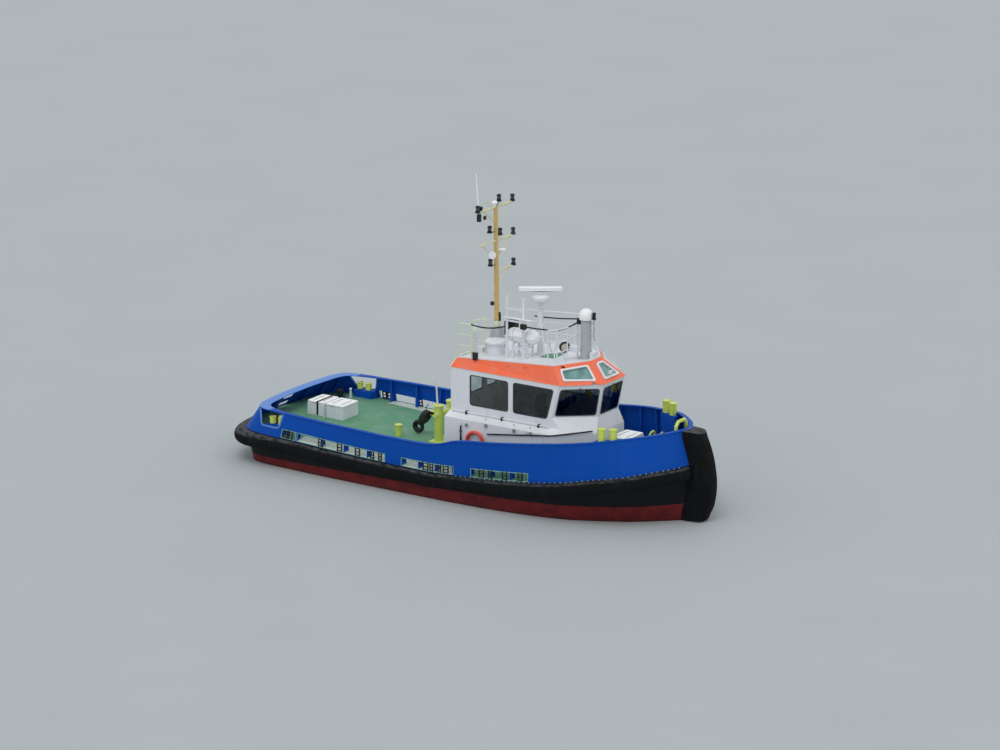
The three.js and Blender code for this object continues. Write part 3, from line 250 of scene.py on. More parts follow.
class Finishes:
    """The finishes of the boat, by what they cover."""

    bulwark = Finish(
        "bulwark_blue", srgb(0, 74, 170), "bulwark_blue", 0.45,
        grime=0.05, fade=0.01, gloss=0.1, waviness=0.004,
    )
    bulwark_inside = Finish(
        "bulwark_inside", srgb(0, 76, 182), "bulwark_blue", 0.5,
        grime=0.08, fade=0.02, gloss=0.12, waviness=0.003,
    )
    # Paler blue than the bulwark; on the cap rail's up-facing ends it is a painted sky reflection, and the
    # quarter rims take it too.
    cap_rail = Finish("cap_rail_blue", srgb(70, 128, 208), "bulwark_blue", 0.45, grime=0.3, fade=0.15)
    deck = Finish(
        "deck_green", srgb(84, 146, 112), "deck_green", 0.75,
        grime=0.35, fade=0.3, surface=Surface.NON_SLIP,
    )
    white = Finish(
        "white_paint", srgb(226, 229, 234), "white_paint", 0.38, coat=0.2, grime=0.16, waviness=0.0015
    )
    orange = Finish(
        "orange_paint", srgb(247, 104, 56), "orange_paint", 0.42, coat=0.2, grime=0.15, waviness=0.0015
    )
    lime = Finish(
        "lime_paint", srgb(206, 222, 98), "lime_paint", 0.45,
        grime=0.25, grime_color=(0.1, 0.12, 0.05),
    )
    ladder = Finish("ladder_paint", srgb(210, 228, 188), "lime_paint", 0.45, grime=0.2)
    port_frame = Finish("port_frame_green", srgb(128, 176, 160), "deck_green", 0.55, grime=0.3)
    blind = Finish("blind_teal", srgb(176, 222, 220), "skylight_glass", 0.7, grime=0.1)
    ochre = Finish("ochre_paint", srgb(210, 176, 106), "ochre_paint", 0.6, grime=0.3, fade=0.15)
    yard = Finish("yard_paint", srgb(222, 216, 168), "ochre_paint", 0.55, grime=0.2)
    black = Finish(
        "black_paint", srgb(16, 18, 21), "black_steel", 0.5, gloss=0.25,
        grime=0.3, grime_color=(0.12, 0.12, 0.12),
    )
    rubber = Finish(
        "rubber", srgb(12, 13, 15), "rubber", 0.82, gloss=0.2, grime=0.35, grime_color=(0.1, 0.1, 0.1),
        surface=Surface.RUBBER,
    )
    grey = Finish("grey_steel", srgb(140, 146, 150), "grey_steel", 0.5, metallic=0.2, grime=0.35)
    galvanised = Finish(
        "galvanised", srgb(165, 170, 172), "grey_steel", 0.45, metallic=0.7, grime=0.2,
        surface=Surface.CAST,
    )
    gel_coat = Finish("gel_coat", srgb(243, 244, 245), "gel_coat", 0.28, coat=0.4, grime=0.1)
    buoy = Finish("buoy_red", srgb(222, 74, 54), "buoy_foam", 0.55, grime=0.2)
    bronze = Finish(
        "bronze", srgb(176, 138, 72), "bronze", 0.35, metallic=0.9, grime=0.4, surface=Surface.CAST
    )
    upholstery = Finish(
        "upholstery", srgb(28, 28, 30), "upholstery", 0.65, grime=0.1, surface=Surface.CLOTH
    )
    rope = Finish("rope_black", srgb(22, 23, 25), "black_steel", 0.85, grime=0.1, surface=Surface.ROPE)
    lug = Finish("lug_steel", srgb(112, 128, 152), "grey_steel", 0.6, grime=0.3)
    seal = Finish("window_seal", srgb(64, 69, 73), "rubber", 0.75)
    waterway = Finish("waterway_pale_strip", srgb(192, 208, 190), "deck_green", 0.6, grime=0.4)
    pale_grey = Finish("pale_grey_paint", srgb(176, 181, 186), "grey_steel", 0.45, grime=0.2)
    topsides = Finish(
        "hull_paint", srgb(25, 27, 31), "hull_paint", 0.55, grime=0.25, gloss=0.18, waviness=0.004
    )
    fender = Finish("fender_rubber", srgb(12, 13, 16), "rubber", 0.84, gloss=0.18, surface=Surface.RUBBER)
    boot = Finish("antifouling_red", srgb(112, 34, 35), "hull_paint", 0.65, grime=0.3, fade=0.2)


class Shader:
    """A short way to add and join shader nodes in one tree."""

    def __init__(self, tree: Tree) -> None:
        """Keeps the tree that nodes are added to."""
        self.tree = tree

    def add(self, kind: str, **values: object) -> Node:
        """Adds a node.

        Args:
            kind: the node's type name.
            values: properties by name, and inputs by name with spaces as double underscores.

        Returns:
            The new node.
        """
        node = self.tree.nodes.new(kind)
        for key, value in values.items():
            name = key.replace("__", " ")
            if hasattr(node, key):
                setattr(node, key, value)
            elif isinstance(value, Socket):
                self.tree.links.new(value, node.inputs[name])
            else:
                node.inputs[name].default_value = value
        return node

    def math(self, operation: str, a: object, b: object = 0.0, clamp: bool = False) -> Socket:
        """One sum of two numbers or sockets."""
        node = self.tree.nodes.new("ShaderNodeMath")
        node.operation = operation
        node.use_clamp = clamp
        for place, value in enumerate((a, b)):
            if isinstance(value, Socket):
                self.tree.links.new(value, node.inputs[place])
            else:
                node.inputs[place].default_value = value
        return node.outputs[0]

    def mix(self, share: object, a: object, b: object, blend: str = "MIX") -> Socket:
        """A mix of two colours by a share."""
        node = self.tree.nodes.new("ShaderNodeMix")
        node.data_type = "RGBA"
        node.blend_type = blend
        for name, value in (("Factor_Float", share), ("A_Color", a), ("B_Color", b)):
            socket = next(s for s in node.inputs if s.identifier == name)
            if isinstance(value, Socket):
                self.tree.links.new(value, socket)
            elif name == "Factor_Float":
                socket.default_value = value
            else:
                socket.default_value = (*value[:3], 1.0)
        return next(s for s in node.outputs if s.identifier == "Result_Color")

    def ramp(self, value: Socket, low: float, high: float) -> Socket:
        """The value stretched so that low is 0 and high is 1."""
        values = {"From__Min": low, "From__Max": high}
        node = self.add("ShaderNodeMapRange", interpolation_type="SMOOTHSTEP", Value=value, **values)
        return node.outputs[0]

    def noise(self, vector: Socket, scale: float, detail: float = 3.0) -> Socket:
        """Smooth noise of 0 to 1."""
        return self.add("ShaderNodeTexNoise", Vector=vector, Scale=scale, Detail=detail).outputs[0]

    def stretched(self, vector: Socket, x: float, y: float, z: float) -> Socket:
        """Coordinates scaled differently along each axis."""
        return self.add("ShaderNodeMapping", Vector=vector, Scale=(x, y, z)).outputs[0]


class MaterialShop:
    """Makes each material once, from shared groups for weather and unevenness."""

    def __init__(self) -> None:
        """Builds the shared groups."""
        self.made: dict[str, Material] = {}
        self.weather = self._weather_group()

    def _weather_group(self) -> Tree:
        """Streaks that run down, blotches, and fine grain, from Object coordinates.

        Returns:
            The node group, with outputs Streak, Blotch, Grain and Wave of 0 to 1.
        """
        group = bpy.data.node_groups.new("salt_weather", "ShaderNodeTree")
        for name in ("Streak", "Blotch", "Grain", "Wave"):
            group.interface.new_socket(name=name, in_out="OUTPUT", socket_type="NodeSocketFloat")
        s = Shader(group)
        place = s.add("ShaderNodeTexCoord").outputs["Object"]
        down = s.noise(s.stretched(place, 9.0, 9.0, 0.9), 1.0, 4.0)
        patch = s.noise(place, 1.1, 3.0)
        streak = s.math("MULTIPLY", s.ramp(down, 0.52, 0.78), s.ramp(patch, 0.4, 0.62))
        out = group.nodes.new("NodeGroupOutput")
        for name, socket in (
            ("Streak", streak),
            ("Blotch", s.ramp(s.noise(place, 3.2, 5.0), 0.35, 0.7)),
            ("Grain", s.noise(place, 160.0, 2.0)),
            ("Wave", s.noise(s.stretched(place, 1.0, 1.0, 0.55), 1.6, 1.5)),
        ):
            group.links.new(socket, out.inputs[name])
        return group

    def _start(self, name: str) -> tuple[Material, Shader, Node, Node]:
        """A new material with its shader and the weather group."""
        material = bpy.data.materials.new(name)
        material.use_nodes = True
        s = Shader(material.node_tree)
        shader = next(n for n in material.node_tree.nodes if n.type == "BSDF_PRINCIPLED")
        weather = s.tree.nodes.new("ShaderNodeGroup")
        weather.node_tree = self.weather
        return material, s, shader, weather

    def _height(self, s: Shader, finish: Finish, weather: Node) -> tuple[Socket, float]:
        """The unevenness of a finish.

        Returns:
            A height of 0 to 1 and its depth in metres.
        """
        place = s.add("ShaderNodeTexCoord").outputs["Object"]
        if finish.surface is Surface.NON_SLIP:
            cells = s.add("ShaderNodeTexVoronoi", Vector=place, Scale=260.0).outputs["Distance"]
            return s.math("ADD", cells, weather.outputs["Blotch"]), 0.0012
        if finish.surface is Surface.RUBBER:
            rough = s.noise(place, 45.0, 5.0)
            return s.math("ADD", rough, s.math("MULTIPLY", weather.outputs["Blotch"], 0.6)), 0.004
        if finish.surface is Surface.CAST:
            return s.noise(place, 90.0, 4.0), 0.0012
        if finish.surface is Surface.CLOTH:
            weave = s.add("ShaderNodeTexWave", Vector=place, Scale=140.0).outputs[1]
            return weave, 0.0008
        if finish.surface is Surface.ROPE:
            strands = s.add("ShaderNodeTexWave", Vector=place, Scale=38.0, bands_direction="DIAGONAL")
            return strands.outputs[1], 0.006
        waves = s.math("MULTIPLY", weather.outputs["Wave"], finish.waviness / 0.0006)
        return s.math("ADD", s.math("MULTIPLY", weather.outputs["Grain"], 0.35), waves), 0.0006

    def paint(self, finish: Finish) -> Material:
        """A finish with faded patches, dirt that runs down, uneven gloss and an uneven skin.

        Args:
            finish: the finish to make.

        Returns:
            The material, the same one for the same finish.
        """
        if finish.name in self.made:
            return self.made[finish.name]
        material, s, shader, weather = self._start(finish.name)
        base = np.array(finish.color)
        faded = tuple(base * (1 - finish.fade) + finish.fade * (0.3 + 0.5 * base.mean()))
        color = s.mix(s.math("MULTIPLY", weather.outputs["Blotch"], 0.8), finish.color, faded)
        dirt = s.math("MULTIPLY", weather.outputs["Streak"], finish.grime, clamp=True)
        color = s.mix(dirt, color, finish.grime_color)
        self._finish(s, shader, finish, weather, color)
        self.made[finish.name] = material
        return material

    def look(self, look: Finish | Material) -> Material:
        """The material of a finish, or a material as it is."""
        return self.paint(look) if isinstance(look, Finish) else look

    def _finish(self, s: Shader, shader: Node, finish: Finish, weather: Node, color: Socket) -> None:
        """Joins a colour, the gloss and the unevenness to the shader."""
        uneven = s.math("MULTIPLY", weather.outputs["Blotch"], 0.14)
        rough = s.math("ADD", uneven, finish.roughness - 0.04, clamp=True)
        height, depth = self._height(s, finish, weather)
        bump = s.add("ShaderNodeBump", Height=height, Distance=depth, Strength=1.0)
        s.tree.links.new(color, shader.inputs["Base Color"])
        s.tree.links.new(rough, shader.inputs["Roughness"])
        s.tree.links.new(bump.outputs[0], shader.inputs["Normal"])
        shader.inputs["Metallic"].default_value = finish.metallic
        shader.inputs["Specular IOR Level"].default_value = finish.gloss
        shader.inputs["Coat Weight"].default_value = finish.coat
        shader.inputs["Coat Roughness"].default_value = 0.12

    def footed(self, foot: Finish, head: Finish, height: float) -> Material:
        """One finish below a height and another above it, parted by an uneven brush line."""
        material, s, shader, weather = self._start(f"{head.name}_footed")
        place = s.add("ShaderNodeTexCoord").outputs["Object"]
        brushed = s.math("MULTIPLY", s.noise(place, 14.0, 2.0), 0.03)
        z = s.math("ADD", s.add("ShaderNodeSeparateXYZ", Vector=place).outputs["Z"], brushed)
        color = s.mix(s.ramp(z, height, height + 0.01), foot.color, head.color)
        color = s.mix(s.math("MULTIPLY", weather.outputs["Streak"], head.grime), color, head.grime_color)
        self._finish(s, shader, head, weather, color)
        return material

    def hull(self) -> Material:
        """Black topsides over dull red antifouling, parted by a line that rises forward, with weed below."""
        finish = Finishes.topsides
        material, s, shader, weather = self._start(finish.name)
        place = s.add("ShaderNodeTexCoord").outputs["Object"]
        xyz = s.add("ShaderNodeSeparateXYZ", Vector=place).outputs
        line = s.math("ADD", s.math("MULTIPLY", xyz["X"], 0.022), 0.4)
        wobble = s.math("MULTIPLY", s.noise(place, 6.0, 2.0), 0.012)
        above = s.ramp(s.math("ADD", s.math("SUBTRACT", xyz["Z"], line), wobble), 0.0, 0.012)
        red = s.mix(
            s.math("MULTIPLY", weather.outputs["Blotch"], 0.7), srgb(112, 33, 35), srgb(76, 24, 28)
        )
        depth = s.math("ADD", xyz["Z"], s.math("MULTIPLY", weather.outputs["Streak"], -0.1))
        weed = s.math("MULTIPLY", s.ramp(depth, 0.16, 0.0), 0.45)
        red = s.mix(weed, red, srgb(52, 40, 34))
        black = s.mix(
            s.math("MULTIPLY", weather.outputs["Streak"], 0.35), srgb(17, 18, 22), srgb(50, 49, 48)
        )
        self._finish(s, shader, finish, weather, s.mix(above, red, black))
        return material

    def fender(self) -> Material:
        """Black rubber, pale grey where its faces look up: partly scuffs and dust, partly a painted highlight
        on the lit tops.
        """
        finish = Finishes.fender
        material, s, shader, weather = self._start(finish.name)
        place = s.add("ShaderNodeTexCoord").outputs["Object"]
        normal = s.add("ShaderNodeNewGeometry").outputs["Normal"]
        up = s.add("ShaderNodeSeparateXYZ", Vector=normal).outputs["Z"]
        rubs = s.noise(s.stretched(place, 1.5, 1.5, 4.0), 3.0, 5.0)
        # Pale grey on up-facing faces: scuffs and dust, and a painted highlight where the tops catch the
        # light.
        scuffs_and_highlight = s.math("MULTIPLY", s.ramp(up, 0.35, 0.95), s.ramp(rubs, 0.3, 0.62))
        color = s.mix(s.math("MULTIPLY", scuffs_and_highlight, 0.6), finish.color, srgb(100, 101, 106))
        color = s.mix(s.math("MULTIPLY", weather.outputs["Streak"], 0.2), color, srgb(62, 62, 64))
        self._finish(s, shader, finish, weather, color)
        return material

    def glass(
        self, name: str, tint: Color, fore_tint: Color | None = None, border: float = 1.95
    ) -> Material:
        """Clear glass, dull where salt has dried on it, which may have a second tint forward of a border.

        Args:
            name: the material's name.
            tint: the tint, or the aft tint.
            fore_tint: the tint forward of the border.
            border: x of the border.

        Returns:
            The material.
        """
        material, s, shader, weather = self._start(name)
        if fore_tint is not None:
            place = s.add("ShaderNodeTexCoord").outputs["Object"]
            fore = s.math(
                "GREATER_THAN", s.add("ShaderNodeSeparateXYZ", Vector=place).outputs["X"], border
            )
            tint = s.mix(fore, tint, fore_tint)
        rough = s.math("ADD", s.math("MULTIPLY", weather.outputs["Streak"], 0.1), 0.02)
        color = s.mix(s.math("MULTIPLY", weather.outputs["Blotch"], 0.2), tint, (0.02, 0.03, 0.03))
        s.tree.links.new(color, shader.inputs["Base Color"])
        s.tree.links.new(rough, shader.inputs["Roughness"])
        shader.inputs["Transmission Weight"].default_value = 1.0
        shader.inputs["IOR"].default_value = 1.45
        return material

    def lamp(self, name: str, color: Color) -> Material:
        """A lamp's lens: tinted, glossy, with moulded ribs."""
        material, s, shader, weather = self._start(name)
        place = s.add("ShaderNodeTexCoord").outputs["Object"]
        ribs = s.add("ShaderNodeTexWave", Vector=place, Scale=60.0, bands_direction="Z").outputs[1]
        bump = s.add("ShaderNodeBump", Height=ribs, Distance=0.002, Strength=1.0)
        stained = s.mix(weather.outputs["Blotch"], color, tuple(0.85 * c for c in color))
        s.tree.links.new(stained, shader.inputs["Base Color"])
        s.tree.links.new(bump.outputs[0], shader.inputs["Normal"])
        shader.inputs["Roughness"].default_value = 0.15
        shader.inputs["Coat Weight"].default_value = 0.6
        return material


shop = MaterialShop()


# Putting pieces into the scene


def joined(parts: Sequence[Part]) -> Part:
    """Several closed shapes as one list of points and one list of faces."""
    points, faces, offset = [], [], 0
    for part, part_faces in parts:
        flat = part.reshape(-1, 3)
        points.append(flat)
        faces += [[offset + k for k in f] for f in part_faces]
        offset += len(flat)
    return np.vstack(points), faces


def put(
    name: str,
    parts: Sequence[Part],
    look: Finish | Material,
    body: str = "root",
    sharp: float = 35.0,
    bevel: float = 0.0,
    nodes: Sequence[str] = (),
) -> Object:
    """Makes one piece of closed shapes that rides on a body.

    Args:
        name: the piece's name.
        parts: the points and faces of each shape.
        look: its finish, or a material made for it alone.
        body: the body that it moves with.
        sharp: angle in degrees from which an edge stays sharp.
        bevel: width of the rounding along sharp edges, or 0.
        nodes: the CAD nodes that it stands for.

    Returns:
        The new object.
    """
    points, faces = joined(parts)
    mesh = bpy.data.meshes.new(name)
    mesh.from_pydata(points.tolist(), [], faces)
    work = bmesh.new()
    work.from_mesh(mesh)
    bmesh.ops.remove_doubles(work, verts=work.verts, dist=1e-6)
    bmesh.ops.recalc_face_normals(work, faces=work.faces)
    work.to_mesh(mesh)
    work.free()
    mesh.shade_smooth()
    mesh.set_sharp_from_angle(angle=math.radians(sharp))
    mesh.materials.append(shop.look(look))
    piece = bpy.data.objects.new(name, mesh)
    bpy.context.scene.collection.objects.link(piece)
    if bevel > 0:
        add_bevel(piece, bevel)
    for node in nodes:
        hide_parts(node)
    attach(piece, body)
    return piece


def add_bevel(piece: Object, width: float) -> None:
    """Rounds a piece's sharp edges."""
    rounding = piece.modifiers.new("edge_rounding", "BEVEL")
    rounding.width = width
    rounding.segments = 2
    rounding.limit_method = "ANGLE"
    rounding.angle_limit = math.radians(32)
    rounding.harden_normals = True


BODIES = frame["record"]["behaviour"]["bodies"]
BODY_OF_NODE = {node: body for body, nodes in BODIES.items() for node in nodes}


def refine(node: str, look: Finish | Material, bevel: float = 0.0, sharp: float = 35.0) -> Object:
    """A copy of a CAD node with merged faces, rounded edges and smooth shading, which stands for the node.

    Args:
        node: the CAD node.
        look: the copy's finish or material.
        bevel: width of the rounding along sharp edges, or 0.
        sharp: angle in degrees from which an edge stays sharp.

    Returns:
        The copy.
    """
    mesh = frame["nodes"][node].data.copy()
    work = bmesh.new()
    work.from_mesh(mesh)
    bmesh.ops.remove_doubles(work, verts=work.verts, dist=2e-5)
    bmesh.ops.dissolve_limit(work, angle_limit=math.radians(0.6), verts=work.verts, edges=work.edges)
    work.to_mesh(mesh)
    work.free()
    mesh.shade_smooth()
    mesh.set_sharp_from_angle(angle=math.radians(sharp))
    mesh.materials.clear()
    mesh.materials.append(shop.look(look))
    piece = bpy.data.objects.new(f"{node}_dressed", mesh)
    bpy.context.scene.collection.objects.link(piece)
    if bevel > 0:
        add_bevel(piece, bevel)
    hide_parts(node)
    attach(piece, BODY_OF_NODE[node])
    return piece


def block(lo: Sequence[float], hi: Sequence[float]) -> Part:
    """An upright box between two corners, to be bevelled by the piece that it joins."""
    x, y, z = np.meshgrid([lo[0], hi[0]], [lo[1], hi[1]], [lo[2], hi[2]], indexing="ij")
    points = np.stack([x, y, z], axis=-1).reshape(-1, 3)
    return points, [[0, 1, 3, 2], [4, 6, 7, 5], [0, 4, 5, 1], [2, 3, 7, 6], [0, 2, 6, 4], [1, 5, 7, 3]]


def rod(path: Points | Sequence[Place], radius: float | Points, sides: int = 10) -> Part:
    """A round bar along a path as a part of a larger piece."""
    return tube_points(path, radius, sides), capped_faces(len(path), sides)


def hoop(path: Points, radius: float, sides: int = 8) -> Part:
    """A round bar along a path that returns to its start, as a part of a larger piece."""
    return tube_points(path, radius, sides, closed=True), grid_faces(len(path), sides, wrap_rows=True)


def turned(
    profile: Sequence[Sequence[float]],
    foot: Sequence[float],
    axis: Sequence[float] = (0, 0, 1),
    sides: int = 24,
) -> Part:
    """A profile of (radius, height) turned about an axis.

    Args:
        profile: radius and height of each ring, from one end to the other.
        foot: the point on the axis at height 0.
        axis: the axis's direction.
        sides: points round a ring.

    Returns:
        The points and faces, with a flat face at each end.
    """
    rings = np.array(profile, dtype=float)
    along = unit(vec(*axis))
    steady = np.eye(3)[np.argmin(np.abs(along))]
    side = unit(np.cross(along, steady))
    over = np.cross(along, side)
    a = np.linspace(0, 2 * np.pi, sides, endpoint=False)
    ring = np.cos(a)[:, None] * side + np.sin(a)[:, None] * over
    points = vec(*foot) + rings[:, 1, None, None] * along + rings[:, 0, None, None] * ring[None]
    return points, capped_faces(len(rings), sides)


def plate(outline: Points, thickness: float, normal: Points | None = None) -> Part:
    """A flat outline given a thickness on both sides of its plane."""
    p = np.asarray(outline, dtype=float)
    n = unit(np.cross(p, np.roll(p, -1, axis=0)).sum(axis=0)) if normal is None else normal
    points = np.stack([p - n * thickness / 2, p + n * thickness / 2])
    return points, capped_faces(2, len(p))


# Hull form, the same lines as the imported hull

# Port side, from the middle of the stern to the stem, in millimetres.
# Columns: deck edge x, y, z; cap rail x, y, z; waterline x, y; chine x, y, z; keel edge x, y, z.
LINES = [
    (-8100, 0, 1060, -7450, 0, 1830, -7860, 0, -7780, 0, -220, -7700, 0, -300),
    (-8010, 1250, 1060, -7400, 1200, 1830, -7800, 1200, -7730, 1150, -220, -7660, 70, -310),
    (-7830, 2060, 1060, -7290, 2000, 1830, -7650, 1960, -7590, 1880, -225, -7500, 100, -330),
    (-7560, 2480, 1058, -7110, 2340, 1830, -7420, 2330, -7370, 2230, -230, -7250, 100, -360),
    (-7120, 2690, 1050, -6830, 2480, 1825, -7050, 2520, -7020, 2420, -250, -6900, 100, -410),
    (-5300, 2790, 1010, -5300, 2630, 1810, -5300, 2660, -5300, 2560, -390, -5300, 100, -760),
    (-3200, 2800, 930, -3200, 2770, 1790, -3200, 2710, -3200, 2620, -580, -3200, 100, -1280),
    (-500, 2800, 880, -500, 2790, 1780, -500, 2730, -500, 2640, -720, -500, 100, -1560),
    (100, 2800, 890, 100, 2790, 1855, 100, 2730, 100, 2640, -725, 100, 100, -1580),
    (700, 2800, 925, 700, 2790, 2040, 700, 2720, 700, 2620, -725, 700, 100, -1590),
    (2200, 2790, 1030, 2180, 2770, 2210, 2200, 2640, 2200, 2480, -700, 2200, 100, -1590),
    (3500, 2740, 1150, 3480, 2680, 2370, 3500, 2470, 3480, 2230, -650, 3450, 100, -1560),
    (4560, 2620, 1300, 4480, 2545, 2500, 4540, 2210, 4500, 1880, -600, 4400, 100, -1480),
    (5430, 2400, 1460, 5290, 2260, 2600, 5380, 1830, 5300, 1460, -550, 5200, 100, -1360),
    (6400, 2020, 1620, 6150, 1810, 2725, 6260, 1330, 6120, 960, -500, 5900, 95, -1170),
    (7030, 1500, 1735, 6800, 1210, 2795, 6900, 830, 6700, 540, -450, 6400, 85, -950),
    (7500, 900, 1800, 7200, 740, 2845, 7350, 430, 7080, 290, -420, 6800, 75, -720),
    (7760, 370, 1828, 7460, 300, 2880, 7600, 180, 7300, 120, -405, 7000, 55, -570),
    (7840, 0, 1835, 7560, 0, 2895, 7680, 0, 7380, 0, -400, 7080, 0, -520),
]


@dataclass
class HullForm:
    """The boat's lines as closed curves, port side first: place 0 is the stern, 1 the stem, 2 the stern."""

    camber: float = 0.14
    half_beam: float = 2.8
    plate_top: float = 0.0164
    first_row: float = 4.0
    samples: int = 4001
    lines: dict[str, Points] = field(default_factory=dict)

    def __post_init__(self) -> None:
        """Closes each line of the table over both sides."""
        t = np.array(LINES, dtype=float) / 1000.0
        water = np.column_stack([t[:, 6:8], np.zeros(len(t))])
        halves = {
            "deck": t[:, 0:3], "rail": t[:, 3:6], "water": water, "chine": t[:, 8:11], "keel": t[:, 11:14]
        }
        for key, half in halves.items():
            self.lines[key] = np.vstack([half, half[-2:0:-1] * vec(1, -1, 1)])

    @property
    def rows(self) -> int:
        """Steps of the table on one side."""
        return len(LINES) - 1

    def at(self, key: str, s: Points) -> Points:
        """Points of one line at places s."""
        return closed_curve(self.lines[key], np.asarray(s, dtype=float) / 2.0)

    def outward(self, s: Points) -> Points:
        """Level directions out of the hull at places s."""
        s = np.asarray(s, dtype=float)
        step = self.at("deck", s + 1e-3) - self.at("deck", s - 1e-3)
        return unit(np.column_stack([-step[:, 1], step[:, 0], np.zeros(len(step))]))

    def place_at(self, x: Points | float) -> Points | float:
        """The places on the port side where the deck's edge passes x."""
        s = np.linspace(self.first_row / self.rows, 1.0, self.samples)
        return np.interp(x, self.at("deck", s)[:, 0], s)

    def places(self, start: float, end: float, per_row: int = 8) -> Points:
        """Evenly spaced places between two, with a number of steps for each row of the table."""
        return np.linspace(start, end, max(2, int(round((end - start) * self.rows * per_row))) + 1)

    def stern_share(self, s: Points) -> Points:
        """1 round the stern, easing to 0 along each side: share squared * (3 - 2 * share)."""
        near = np.minimum(s % 2, 2 - s % 2)
        share = np.clip((5 / self.rows - near) * self.rows / 1.4, 0, 1)
        return share**2 * (3 - 2 * share)

    def on_side(self, x: Points, lift: float) -> Points:
        """Points of the port bulwark at a height above the deck's edge, for places x along that edge."""
        s = self.place_at(x)
        foot = self.at("deck", s)
        rise = self.at("rail", s) - foot
        return foot + rise * (lift / rise[:, 2:])

    def deck_height(self, x: float, y: float) -> float:
        """Height of the deck's top at a point."""
        s = np.linspace(0.0, 1.0, self.samples)
        edge = self.at("deck", s)
        at_x = int(np.argmin(np.abs(edge[:, 0] - x)))
        rise = self.camber * ((edge[at_x, 1] ** 2 - y**2) / self.half_beam**2)
        return float(edge[at_x, 2] + max(rise, 0.0) + self.plate_top)


form = HullForm()


